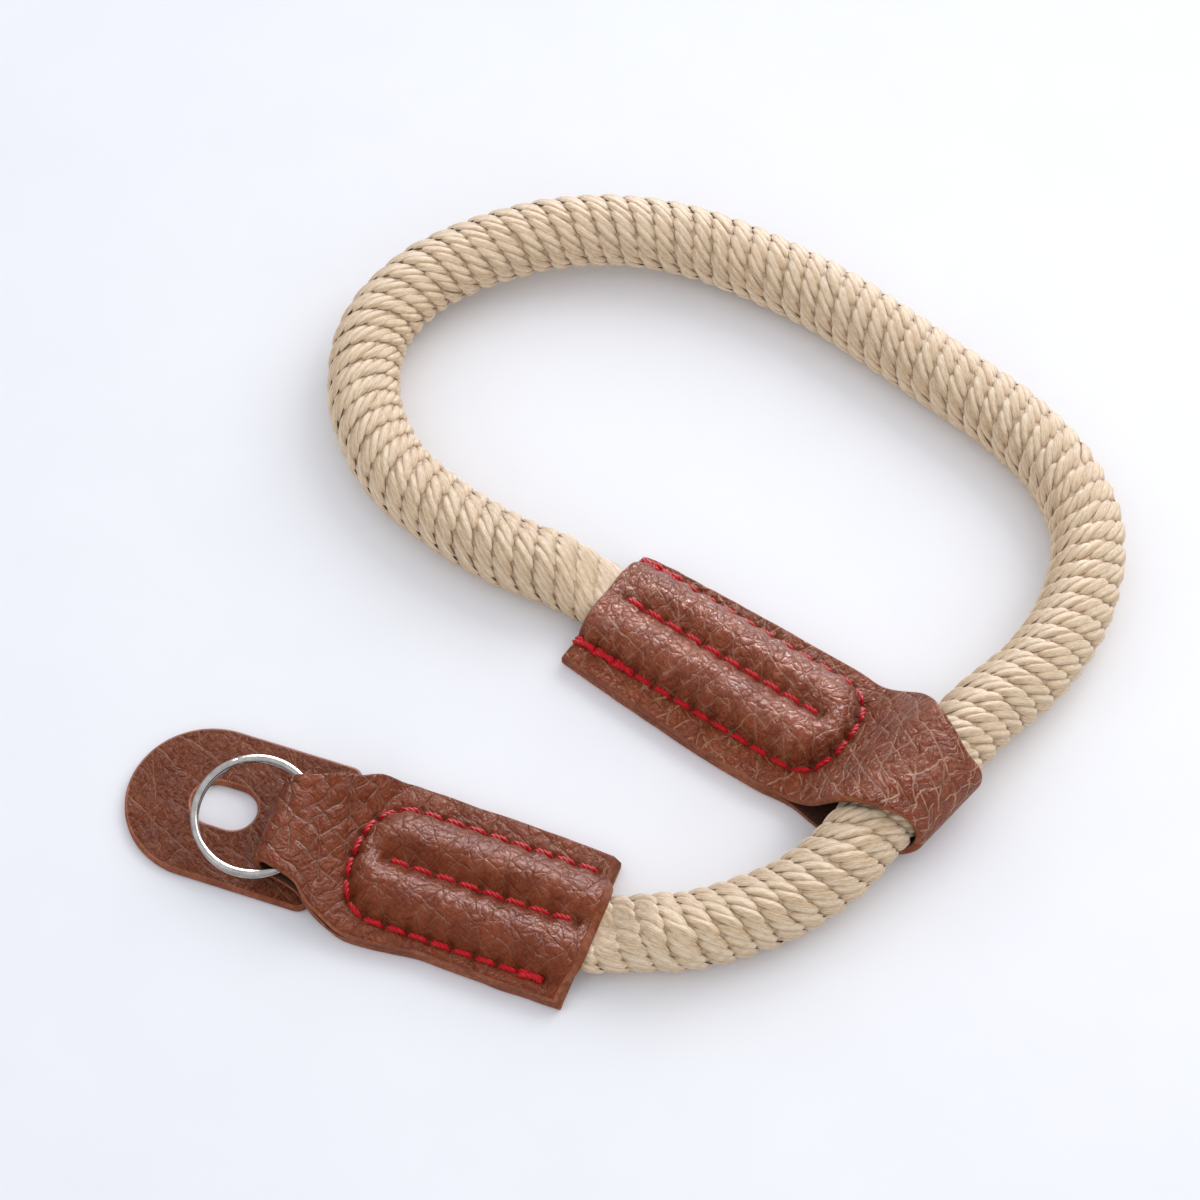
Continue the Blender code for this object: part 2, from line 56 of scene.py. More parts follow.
# Spacing of points along the strips, and their number across
GRID = 0.34 * MM
COLUMNS = 62
# Length of a stitch, spacing of a seam's points, and the power that rounds the outer seam
STITCH = 3.1 * MM
SEAM_STEP = 0.1 * MM
SEAM_POWER = 2.4
# Radius of the thread above and below, and how far its doubled stitches lie beside the seam
THREAD_RADIUS, UNDER_RADIUS = 0.42 * MM, 0.30 * MM
BACK_TACK = (-0.32 * MM, 0.36 * MM)
# Width and depth of the groove under the thread and of its holes, then the puckers beside it
GROOVE_WIDE, GROOVE_DEEP = 0.50 * MM, 0.24 * MM
HOLE_WIDE, HOLE_DEEP = 0.42 * MM, 0.55 * MM
PUCKER_AT, PUCKER_WIDE, PULL_REACH = 1.1 * MM, 1.0 * MM, 4.0 * MM
# Cut edges are rounded over this distance, with lines of points at these steps
EDGE_ROUND = 0.36 * MM
EDGE_STEPS = (0.0, 0.06 * MM, 0.17 * MM, EDGE_ROUND)
# How far in from its mouth a sleeve bulges out, and how far its upper face slants back
BULGE_REACH = 6.0 * MM
SLANT_REACH = 2.4 * MM
# Material slots of a leather piece
FACE, CUT, INSIDE = 0, 1, 2


# ---- camera

def add_camera():
    """The photograph's view: 58 degrees above the floor, with a long lens."""
    data = bpy.data.cameras.new("photo_camera")
    data.sensor_width = 36.0
    data.lens = 114.0
    data.clip_start = 0.02
    data.clip_end = 20.0
    made = bpy.data.objects.new("photo_camera", data)
    made.location = (-0.0170, -0.2587, 0.4355)
    made.rotation_euler = (math.radians(32.0), 0.0, 0.0)
    SCENE.collection.objects.link(made)
    SCENE.camera = made


add_camera()


# ---- small sums

def smoothstep(value):
    """Ease from 0 to 1 with no slope at either end."""
    value = min(1.0, max(0.0, value))
    return value * value * (3.0 - 2.0 * value)


def mix(first, second, share):
    """Blend from first to second."""
    return first + (second - first) * share


def hermite(start, end, start_slope, end_slope, span, share):
    """Cubic between two heights with given slopes at both ends."""
    square = share * share
    cube = square * share
    return (
        start * (2 * cube - 3 * square + 1)
        + end * (3 * square - 2 * cube)
        + span * start_slope * (cube - 2 * square + share)
        + span * end_slope * (cube - square)
    )


def read(table, column, along):
    """Read a smooth value from a table whose rows are placed by their along share."""
    places = [row[0] for row in table]
    values = [row[column] for row in table]
    if along <= places[0]:
        return values[0]
    if along >= places[-1]:
        return values[-1]
    index = next(i for i in range(len(places) - 1) if along <= places[i + 1])
    slopes = []
    for i in (index, index + 1):
        low = max(0, i - 1)
        high = min(len(places) - 1, i + 1)
        slopes.append((values[high] - values[low]) / (places[high] - places[low]))
    span = places[index + 1] - places[index]
    share = (along - places[index]) / span
    return hermite(values[index], values[index + 1], slopes[0], slopes[1], span, share)


def wobble(x, y, seed, scale):
    """Smooth noise between about -1 and 1, over a size given in metres."""
    return noise.noise(Vector((x / scale, y / scale, seed * 7.31)))


def catmull_rom(points, spacing):
    """Points at even spacing along a smooth curve through the given points."""
    ends = [points[0] * 2 - points[1]] + list(points) + [points[-1] * 2 - points[-2]]
    dense = []
    for before, start, end, after in zip(ends, ends[1:], ends[2:], ends[3:]):
        span = (end - start).length
        start_slope = (end - before) / (span + (start - before).length)
        end_slope = (after - start) / (span + (after - end).length)
        for i in range(24):
            dense.append(hermite(start, end, start_slope, end_slope, span, i / 24))
    dense.append(points[-1].copy())
    return even_points(dense, spacing)


def even_points(dense, spacing):
    """The same line with its points at even spacing."""
    lengths = [0.0]
    for first, second in zip(dense, dense[1:]):
        lengths.append(lengths[-1] + (second - first).length)
    count = max(2, round(lengths[-1] / spacing))
    even = []
    index = 0
    for i in range(count + 1):
        wanted = lengths[-1] * i / count
        while index < len(dense) - 2 and lengths[index + 1] < wanted:
            index += 1
        span = lengths[index + 1] - lengths[index]
        even.append(dense[index].lerp(dense[index + 1], (wanted - lengths[index]) / span))
    return even


# ---- leather strips

# Rows: share of the length, left and right edge as shares of the half width
TAB_OUTLINE = (
    (0.00, 0.925, 1.01), (0.20, 0.93, 1.04), (0.45, 0.91, 1.05), (0.60, 0.985, 1.055),
    (0.68, 0.98, 1.05), (0.74, 0.91, 0.98), (0.79, 0.85, 0.78), (0.85, 0.69, 0.66),
    (0.92, 0.62, 0.53), (1.00, 0.57, 0.44),
)
SLIDER_OUTLINE = (
    (0.00, 0.85, 0.95), (0.11, 0.90, 0.99), (0.40, 0.97, 1.06), (0.57, 0.99, 1.05),
    (0.66, 0.97, 1.00), (0.76, 0.86, 1.07), (0.84, 0.62, 1.05), (0.91, 0.44, 0.95),
    (0.96, 0.34, 0.84), (1.00, 0.38, 0.79),
)
TAB = {
    "mouth": Vector((-0.0183, -0.0382)), "heading": math.radians(159.2),
    "length": 44.0 * MM, "half_width": 11.3 * MM, "outline": TAB_OUTLINE,
    "seam_half": 8.5 * MM, "seam_offset": 0.0, "seam_end": 32.2 * MM, "seam_round": 6.2 * MM,
    "centre_seam_end": 27.8 * MM, "centre_seam_start": 2.1 * MM,
    "ridge": 3.7 * MM, "valley": 0.62, "mouth_ridge": 0.85, "mouth_valley": 0.6,
    "mouth_reach": 7.0 * MM, "fold_inner": 1.1 * MM, "fold_floor": 1.6 * MM,
    "flat": 4.2 * MM, "join_angle": math.radians(96), "rise_start": 29.6 * MM,
    "step_start": 32.2 * MM, "step_end": 35.6 * MM, "skew": 0.0, "twist": 0.18,
    "seed": 1.0, "seam_from_right": 2.0 * MM, "seam_from_left": 3.3 * MM,
    "slant": 0.9 * MM, "mouth_out": 1.3 * MM,
}
SLIDER_HEADING = math.radians(-35.5)
SLIDER = {
    "mouth": Vector((math.cos(SLIDER_HEADING), math.sin(SLIDER_HEADING))) * -0.020,
    "heading": SLIDER_HEADING,
    "length": 56.6 * MM, "half_width": 10.6 * MM, "outline": SLIDER_OUTLINE,
    "seam_half": 7.7 * MM, "seam_offset": 0.45 * MM, "seam_end": 38.7 * MM,
    "seam_round": 5.8 * MM, "centre_seam_end": 34.2 * MM, "centre_seam_start": 3.0 * MM,
    "ridge": 5.0 * MM, "valley": 0.42, "mouth_ridge": 0.66, "mouth_valley": 0.2,
    "mouth_reach": 8.0 * MM, "fold_inner": 5.6 * MM, "fold_floor": 0.0, "flat": 0.0,
    "join_angle": math.radians(108), "rise_start": 36.4 * MM, "step_start": 38.7 * MM,
    "step_end": 40.0 * MM, "skew": 0.112, "twist": 0.0, "seed": 2.0,
    "seam_from_right": 0.3 * MM, "seam_from_left": 0.3 * MM, "slant": 0.35 * MM, "mouth_out": 0.0,
}


class Sleeve:
    """A leather strip folded back on itself, with a rope end sewn between its two layers.

    Local coordinates: along runs from the open mouth to the fold, across points left of
    that direction, and height is +Z.
    """

    def __init__(self, sizes):
        self.__dict__.update(sizes)
        self.radius = self.fold_inner + LEATHER
        self.fold_centre = self.length - self.radius
        self.fold_height = self.fold_floor + self.radius
        self.axis = Vector((math.cos(self.heading), math.sin(self.heading)))
        self.side = Vector((-self.axis.y, self.axis.x))
        self.join_slope = -1.0 / math.tan(self.join_angle)
        self.join_along = self.fold_centre + self.radius * math.cos(self.join_angle) - self.flat
        round_height = self.fold_height + self.radius * math.sin(self.join_angle)
        self.join_height = round_height - self.join_slope * self.flat
        self.left_at_fold = self.edge(self.length, 1)
        self.seams = [self.outer_seam(), self.centre_seam()]
        places = [(line, i) for line, seam in enumerate(self.seams) for i in range(len(seam))]
        self.seam_places = places
        self.seam_tree = kdtree.KDTree(len(places))
        for k, (line, i) in enumerate(places):
            self.seam_tree.insert(self.seams[line][i], k)
        self.seam_tree.balance()

    def world(self, along, across, height):
        """Turn local coordinates into the strap's own frame."""
        flat = self.mouth + self.axis * along + self.side * across
        return Vector((flat.x, flat.y, height))

    def local(self, point):
        """Along and across of a point given in the strap's own frame."""
        offset = Vector((point.x, point.y)) - self.mouth
        return offset.dot(self.axis), offset.dot(self.side)

    def edge(self, along, column):
        """Distance from the centre line to the left or right edge."""
        return self.half_width * read(self.outline, column, along / self.length)

    def fold_share(self, along):
        """0 over the sewn body, rising to 1 at the fold."""
        return smoothstep((along - self.rise_start) / (self.join_along - self.rise_start))

    def lean(self, along, across):
        """Extra height towards the right where the neck is twisted, from its left edge."""
        if not self.twist:
            return 0.0
        return self.twist * max(0.0, self.left_at_fold - across) * self.fold_share(along)

    def seam_radius(self, along, across):
        """1 on the outer seam, less inside it, more outside it."""
        wide = abs(across - self.seam_offset) / self.seam_half
        deep = max(0.0, (along - (self.seam_end - self.seam_round)) / self.seam_round)
        return (wide**SEAM_POWER + deep**SEAM_POWER) ** (1 / SEAM_POWER)

    def ridge_height(self, along, across):
        """Height of the two ridges that the rope end raises, above the flanges."""
        radius = self.seam_radius(along, across)
        if radius >= 1.0:
            return 0.0
        opening = smoothstep(along / self.mouth_reach)
        crest = self.ridge * mix(self.mouth_ridge, 1.0, opening)
        fade_span = self.seam_end - self.centre_seam_end
        fade = smoothstep((self.seam_end - 1.0 * MM - along) / fade_span)
        depth = self.valley * mix(self.mouth_valley, 1.0, opening) * fade
        from_centre = (across - self.seam_offset) / self.seam_half
        groove = depth * math.exp(-((from_centre / 0.24) ** 2))
        return crest * (1.0 - radius**4) * (1.0 - groove)

    def top(self, along):
        """Height of the upper layer's outer face, leaving out the ridges."""
        if along <= self.rise_start:
            return FLANGE_TOP
        span = self.join_along - self.rise_start
        share = min(1.0, (along - self.rise_start) / span)
        return hermite(FLANGE_TOP, self.join_height, 0.0, self.join_slope, span, share)

    def bottom(self, along):
        """Height of the lower layer's outer face."""
        span = self.step_end - self.step_start
        return self.fold_floor * smoothstep((along - self.step_start) / span)

    def cavity_top(self, along, across):
        """Height of the upper layer's inner face over the sewn rope end."""
        lowest = self.ridge_height(along, across) - LEATHER
        for reach in (0.5, 0.9):
            drop = LEATHER * math.sqrt(1.0 - reach**2)
            for k in range(8):
                turn = math.tau * k / 8
                ahead = along + LEATHER * reach * math.cos(turn)
                aside = across + LEATHER * reach * math.sin(turn)
                lowest = min(lowest, self.ridge_height(ahead, aside) - drop)
        return FLANGE_TOP + lowest

    def outer_seam(self):
        """The U of the outer seam, in from one side of the mouth and back to the other."""
        turn = self.seam_end - self.seam_round
        line = [Vector((self.seam_from_right, self.seam_offset - self.seam_half, 0.0))]
        for i in range(61):
            angle = mix(-math.pi / 2, math.pi / 2, i / 60)
            wide = math.copysign(abs(math.sin(angle)) ** (2 / SEAM_POWER), angle)
            deep = abs(math.cos(angle)) ** (2 / SEAM_POWER)
            across = self.seam_offset + self.seam_half * wide
            line.append(Vector((turn + self.seam_round * deep, across, 0.0)))
        line.append(Vector((self.seam_from_left, self.seam_offset + self.seam_half, 0.0)))
        return even_points(line, SEAM_STEP)

    def centre_seam(self):
        """The straight seam between the two ridges."""
        ends = (self.centre_seam_start, self.centre_seam_end)
        return even_points([Vector((along, self.seam_offset, 0.0)) for along in ends], SEAM_STEP)

    def stitches(self, line):
        """Last index of one seam's points, and how many stitches it holds."""
        last = len(self.seams[line]) - 1
        return last, round(last * SEAM_STEP / STITCH)

    def holes(self, line):
        """Where one seam's stitches go through: indexes into its points."""
        last, count = self.stitches(line)
        return [round(last * i / count) for i in range(count + 1)]

    def seam_dip(self, along, across):
        """How far the thread pulls the leather down round the seams, and how it puckers."""
        _, k, gap = self.seam_tree.find(Vector((along, across, 0.0)))
        line, i = self.seam_places[k]
        if gap > PULL_REACH:
            return 0.0, 0.0
        last, count = self.stitches(line)
        spot = i / last * count
        off = (spot - round(spot)) * last * SEAM_STEP / count
        groove = math.exp(-((gap / GROOVE_WIDE) ** 2))
        hole = math.exp(-((gap**2 + off**2) / HOLE_WIDE**2))
        dip = GROOVE_DEEP * groove + HOLE_DEEP * hole
        beside = math.exp(-(((gap - PUCKER_AT) / PUCKER_WIDE) ** 2))
        return dip, math.cos(math.tau * spot) * beside

    def pinch(self, along, across):
        """1 where the two layers are sewn tight together, outside the seam."""
        outside = smoothstep((self.seam_radius(max(0.0, along), across) - 0.92) / 0.10)
        return outside * (1.0 - smoothstep((along - self.rise_start + 1.0 * MM) / (3.0 * MM)))

    def relief(self, along, across):
        """Small forms of the upper face: seam grooves, holes, puckers and soft dents."""
        dip, pull = self.seam_dip(along, across)
        inside = self.seam_radius(along, across) < 1.0
        uneven = 0.75 + 0.7 * wobble(along, across, self.seed, 5 * MM)
        pucker = pull * (0.20 if inside else 0.07) * MM * uneven
        soft = 0.10 * MM * wobble(along, across, self.seed + 3, 6.0 * MM)
        fine = 0.045 * MM * wobble(along, across, self.seed + 5, 2.2 * MM)
        return soft + fine - dip - pucker

    def path(self):
        """Outer path of the strip: over the upper layer, round the fold and back below."""
        lead = [0.0, 0.07 * MM, 0.18 * MM, EDGE_ROUND]
        count = round((self.join_along - lead[-1]) / GRID)
        above = lead + [mix(lead[-1], self.join_along, i / count) for i in range(1, count + 1)]
        places = [(along, self.top(along), "upper") for along in above]
        if self.flat:
            for i in range(1, 13):
                share = i / 12
                height = self.join_height + self.join_slope * self.flat * share
                places.append((self.join_along + self.flat * share, height, "fold"))
        count = round(self.radius * (self.join_angle + math.pi / 2) / GRID)
        for i in range(1, count + 1):
            angle = mix(self.join_angle, -math.pi / 2, i / count)
            along = self.fold_centre + self.radius * math.cos(angle)
            places.append((along, self.fold_height + self.radius * math.sin(angle), "fold"))
        back = self.fold_centre - lead[-1]
        count = round(back / GRID)
        below = [self.fold_centre - back * i / count for i in range(1, count + 1)]
        return places + [(along, self.bottom(along), "lower") for along in below + lead[2::-1]]


def edge_wave(sleeve, along, column):
    """A hand cut edge isn't quite straight."""
    return 0.10 * MM * wobble(along, column * 0.02, sleeve.seed + 9, 3.5 * MM)


def rounded(distance):
    """How far a face drops at a distance from its rounded cut edge."""
    if distance >= EDGE_ROUND:
        return 0.0
    inwards = EDGE_ROUND - distance
    return EDGE_ROUND - math.sqrt(EDGE_ROUND**2 - inwards**2)


def sleeve_columns(sleeve, along):
    """Positions across the strip, with each one's distance from the nearer cut edge."""
    left = sleeve.edge(max(0.0, along), 1) + edge_wave(sleeve, along, 1)
    right = sleeve.edge(max(0.0, along), 2) + edge_wave(sleeve, along, 2)
    low, high = -right + EDGE_STEPS[-1], left - EDGE_STEPS[-1]
    places = [(-right + step, step) for step in EDGE_STEPS[:-1]]
    places += [(mix(low, high, i / COLUMNS), EDGE_ROUND) for i in range(COLUMNS + 1)]
    places += [(left - step, step) for step in EDGE_STEPS[-2::-1]]
    return places


def make_mesh(name, points, faces, uvs, materials, slots=None, tones=None):
    """A smooth shaded object. uvs and tones go by point, material slots by face."""
    data = bpy.data.meshes.new(name)
    data.from_pydata(points, [], faces)
    places = [value for face in faces for corner in face for value in uvs[corner]]
    data.uv_layers.new(name="surface").data.foreach_set("uv", places)
    if slots:
        data.polygons.foreach_set("material_index", slots)
    if tones:
        tone = data.color_attributes.new("tone", "FLOAT_COLOR", "POINT")
        tone.data.foreach_set("color", [value for item in tones for value in (*item, 1.0)])
    for surface in materials:
        data.materials.append(surface)
    data.shade_smooth()
    data.update()
    made = bpy.data.objects.new(name, data)
    SCENE.collection.objects.link(made)
    return made


def tube(faces, rings, flip=False):
    """Add the faces of a closed tube. flip: its rings turn the other way."""
    count = len(rings[0])
    for first, second in zip(rings, rings[1:]):
        for k in range(count):
            n = (k + 1) % count
            low, high = (first[n], second[k]) if flip else (second[k], first[n])
            faces.append((first[k], low, second[n], high))
    order = -1 if flip else 1
    faces.append(tuple(rings[0][::order]))
    faces.append(tuple(rings[-1][::-order]))


def grain_lengths(base):
    """Lengths in mm along and across the strip, followed over its ridges and slopes."""
    middle = len(base[0]) // 2
    along = [0.0] * len(base[0])
    places = []
    for i, row in enumerate(base):
        before = base[max(i - 1, 0)]
        along = [run + (here - there).length for run, here, there in zip(along, row, before)]
        across = [0.0] * len(row)
        for j in range(middle + 1, len(row)):
            across[j] = across[j - 1] + (row[j] - row[j - 1]).length
        for j in range(middle - 1, -1, -1):
            across[j] = across[j + 1] - (row[j + 1] - row[j]).length
        places.append([(u / MM, v / MM) for u, v in zip(along, across)])
    return places


def face_rise(sleeve, part, along, across, run):
    """Small forms of the strip's outer side at one place."""
    if part == "upper":
        return sleeve.relief(along, across)
    if part == "fold":
        return 0.05 * MM * wobble(run, across, sleeve.seed + 3, 6.0 * MM)
    return -min(0.62 * MM, 2.2 * sleeve.seam_dip(along, across)[0])


def mouth_shape(sleeve, along, across):
    """Near the mouth: how far both sides bulge out, and how far the face slants back."""
    bulge = 0.4 * (1.0 - smoothstep((sleeve.seam_radius(0.0, across) - 0.72) / 0.4))
    bulge += 0.6 * sleeve.ridge_height(0.0, across) / sleeve.ridge
    bulge *= sleeve.mouth_out * (1.0 - along / BULGE_REACH)
    return bulge, sleeve.slant * max(0.0, 1.0 - along / SLANT_REACH)


def face_tone(sleeve, along, across):
    """How much of a ridge the upper face is at one place, and how plain it is."""
    crest = min(1.0, sleeve.ridge_height(along, across) / sleeve.ridge)
    beyond = smoothstep((along - sleeve.seam_end + 0.5 * MM) / (1.5 * MM))
    flange = 0.45 * smoothstep((sleeve.seam_radius(along, across) - 1.0) / 0.08)
    return crest, max(beyond, flange)


def make_sleeve(name, sleeve, materials):
    """The folded strip as one closed skin: grained face, cut edges and suede inside."""
    path = sleeve.path()
    runs = [0.0]
    for before, after in zip(path, path[1:]):
        runs.append(runs[-1] + math.hypot(after[0] - before[0], after[1] - before[1]))
    base, rises, edges = [], [], []
    for (along, height, part), run in zip(path, runs):
        columns = sleeve_columns(sleeve, along)
        row = []
        for across, _ in columns:
            ridge = sleeve.ridge_height(along, across) if part == "upper" else 0.0
            skewed = along + sleeve.skew * across * sleeve.fold_share(along)
            row.append(Vector((skewed, across, height + ridge + sleeve.lean(along, across))))
        base.append(row)
        rises.append([face_rise(sleeve, part, along, across, run) for across, _ in columns])
        edges.append([from_edge for _, from_edge in columns])

    last_row, last_column = len(base) - 1, len(base[0]) - 1
    grain = grain_lengths(base)
    points, uvs, tones = [], [], []
    outer, inner = [], []
    for i, row in enumerate(base):
        along, _, part = path[i]
        outer_row, inner_row = [], []
        from_mouth = min(runs[i], runs[-1] - runs[i])
        for j, point in enumerate(row):
            forward = base[min(i + 1, last_row)][j] - base[max(i - 1, 0)][j]
            sideways = row[min(j + 1, last_column)] - row[max(j - 1, 0)]
            normal = forward.cross(sideways).normalized()
            drop = rounded(min(edges[i][j], from_mouth))
            face = point + normal * (rises[i][j] - drop)
            pinch = sleeve.pinch(point.x, point.y)
            thick = LEATHER if part == "fold" else LEATHER + 0.15 * MM * pinch
            back = point - normal * (thick - (0.7 - 0.65 * pinch) * drop)
            crest, plain = 0.0, 1.0
            if part == "upper":
                crest, plain = face_tone(sleeve, along, point.y)
                if along < BULGE_REACH:
                    bulge, slant = mouth_shape(sleeve, along, point.y)
                    back.x -= bulge
                    face.x += slant - bulge
            # sunk: how far a seam pulls the face down, which the leather material paints with
            # shade
            sunk = min(1.0, max(0.0, -rises[i][j] / (0.4 * MM)))
            for spot, line in ((face, outer_row), (back, inner_row)):
                line.append(len(points))
                points.append(sleeve.world(*spot))
                uvs.append(grain[i][j])
                tones.append((crest, sunk, plain))
        outer.append(outer_row)
        inner.append(inner_row)

    faces, slots = [], []

    def quad(a, b, c, d, slot):
        faces.append((a, b, c, d))
        slots.append(slot)

    for i in range(last_row):
        low, high = outer[i], outer[i + 1]
        low_in, high_in = inner[i], inner[i + 1]
        for j in range(last_column):
            rim = i in (0, last_row - 1) or j in (0, last_column - 1)
            quad(low[j], high[j], high[j + 1], low[j + 1], CUT if rim else FACE)
            quad(low_in[j], low_in[j + 1], high_in[j + 1], high_in[j], INSIDE)
        quad(low[0], low_in[0], high_in[0], high[0], CUT)
        quad(high[-1], high_in[-1], low_in[-1], low[-1], CUT)
    for j in range(last_column):
        quad(outer[0][j], outer[0][j + 1], inner[0][j + 1], inner[0][j], CUT)
        quad(outer[-1][j + 1], outer[-1][j], inner[-1][j], inner[-1][j + 1], CUT)
    return make_mesh(name, points, faces, uvs, materials, slots, tones)


# ---- rope

# The same as the source's route: x, y and lift off the table, in metres
ROPE_ROUTE = (
    (-0.0079, -0.0393, 0.0), (-0.0031, -0.0385, 0.0), (0.0014, -0.0370, 0.0),
    (0.0058, -0.0352, 0.0001), (0.0100, -0.0327, 0.0006), (0.0138, -0.0297, 0.0012),
    (0.0179, -0.0248, 0.0016), (0.0224, -0.0198, 0.0016), (0.0269, -0.0148, 0.0016),
    (0.0332, -0.0078, 0.0011), (0.0409, -0.0001, 0.0003), (0.0467, 0.0097, 0.0),
    (0.0488, 0.0210, 0.0), (0.0455, 0.0314, 0.0), (0.0390, 0.0397, 0.0),
    (0.0312, 0.0466, 0.0), (0.0234, 0.0534, 0.0), (0.0151, 0.0600, 0.0001),
    (0.0061, 0.0653, 0.0004), (-0.0033, 0.0693, 0.0009), (-0.0132, 0.0711, 0.0014),
    (-0.0233, 0.0705, 0.0016), (-0.0332, 0.0675, 0.0014), (-0.0423, 0.0624, 0.0009),
    (-0.0486, 0.0536, 0.0004), (-0.0494, 0.0422, 0.0001), (-0.0451, 0.0315, 0.0),
    (-0.0375, 0.0238, 0.0), (-0.0289, 0.0179, 0.0),
)
# Points round the rope, then the rows of leaves: pitch, leaves in a round, rows side by side
AROUND = 48
ROW_PITCH = 2.92 * MM
LEAVES_AROUND = 16
ROW_STARTS = 3
# Share of the seam's half width that the pressed rope fills, and its part of that at a mouth
PRESSED_WIDE, MOUTH_NARROW = 0.86, 0.76


def rope_centreline(tab, slider, spacing):
    """The whole rope's axis, from its sewn end in the tab to its sewn end in the slider."""
    in_tab = [tab.length * share for share in (0.6, 0.4, 0.2, 0.0)]
    in_slider = [slider.length * share for share in (0.0, 0.2, 0.4, 0.58)]
    route = [tab.world(along, tab.seam_offset, ROPE_RADIUS) for along in in_tab]
    route += [Vector((x, y, ROPE_RADIUS + lift)) for x, y, lift in ROPE_ROUTE]
    route += [slider.world(along, slider.seam_offset, ROPE_RADIUS) for along in in_slider]
    return catmull_rom(route, spacing)


def rope_ring(point, direction, sleeve):
    """Points round the rope at one place: round where it is free, pressed in a sleeve."""
    side = Vector((-direction.y, direction.x, 0.0)).normalized()
    up = direction.cross(side).normalized()
    turns = [math.tau * k / AROUND for k in range(AROUND)]
    if sleeve is None:
        return [point + (up * math.cos(a) - side * math.sin(a)) * ROPE_RADIUS for a in turns]
    along, _ = sleeve.local(point)
    outside = smoothstep(-along / ROPE_FLARE)
    narrow = mix(MOUTH_NARROW, 1.0, smoothstep(along / sleeve.mouth_reach))
    past = max(0.0, (along - (sleeve.seam_end - sleeve.seam_round)) / sleeve.seam_round)
    narrow *= 1.0 - 0.5 * min(1.0, past) ** 2
    floor = LEATHER + 0.5 * CLEARANCE
    around = []
    for angle in turns:
        level = math.cos(angle)
        flat = -math.sin(angle) * sleeve.seam_half * PRESSED_WIDE * narrow
        place = point + side * flat
        in_along, in_across = sleeve.local(place)
        roof = sleeve.cavity_top(max(0.0, in_along), in_across) - 0.6 * CLEARANCE
        middle = (roof + floor) / 2
        height = middle + (roof - floor) / 2 * math.copysign(abs(level) ** 0.6, level)
        pressed = Vector((place.x, place.y, height))
        free = point + (up * level - side * math.sin(angle)) * ROPE_RADIUS
        around.append(pressed.lerp(free, outside))
    return around


class RopeSkin:
    """The rope's surface, by distance along its axis, angle round it and height over it."""

    def __init__(self, tab, slider):
        self.axis = rope_centreline(tab, slider, 0.5 * MM)
        last = len(self.axis) - 1
        self.step = sum((b - a).length for a, b in zip(self.axis, self.axis[1:])) / last
        self.leaves_tab = next(i for i, p in enumerate(self.axis) if tab.local(p)[0] < -ROPE_FLARE)
        back = next(i for i, p in enumerate(self.axis[::-1]) if slider.local(p)[0] < -ROPE_FLARE)
        self.meets_slider = last - back
        self.rings, self.middles = [], []
        for i, point in enumerate(self.axis):
            direction = (self.axis[min(i + 1, last)] - self.axis[max(i - 1, 0)]).normalized()
            sleeve = tab if i < self.leaves_tab else slider if i > self.meets_slider else None
            ring = rope_ring(point, direction, sleeve)
            self.rings.append(ring)
            self.middles.append(sum(ring, Vector()) / AROUND)

    def at(self, along, angle, height):
        """A point over the rope's surface."""
        place = min(max(along / self.step, 0.0), len(self.axis) - 1.001)
        i = int(place)
        turn = angle / math.tau * AROUND
        k = math.floor(turn)
        share, part = place - i, turn - k
        k %= AROUND
        after = (k + 1) % AROUND
        first, second = self.rings[i], self.rings[i + 1]
        skin = first[k].lerp(first[after], part).lerp(second[k].lerp(second[after], part), share)
        middle = self.middles[i].lerp(self.middles[i + 1], share)
        place = middle + (skin - middle) * (1.0 + height / ROPE_RADIUS)
        place.z = max(place.z, 0.0)
        return place


# A leaf of yarn, in mm and degrees: place along it, heading, half width, lift, direction of
# its width, and how much painted shade it gets where it dives under its neighbours
LEAF = (
    (0.00, 54, 0.44, -0.52, 140, 1.0), (0.55, 51, 0.58, -0.27, 139, 0.50),
    (1.20, 47, 0.64, -0.07, 136, 0.15), (2.00, 42, 0.68, 0.06, 133, 0.0),
    (2.80, 41, 0.71, 0.13, 132, 0.0), (3.70, 45, 0.68, 0.13, 132, 0.0),
    (4.45, 51, 0.63, 0.06, 130, 0.0), (5.05, 58, 0.55, -0.10, 126, 0.20),
    (5.50, 62, 0.42, -0.42, 122, 0.9),
)
LEAF_SHARES = (-1.0, -0.74, -0.38, 0.0, 0.38, 0.74, 1.0)
CORE_AROUND = 16
CORE_DEPTH = 0.50 * MM
# How far the leaves go on past the places where the rope enters the sleeves
HIDDEN = 9.0 * MM


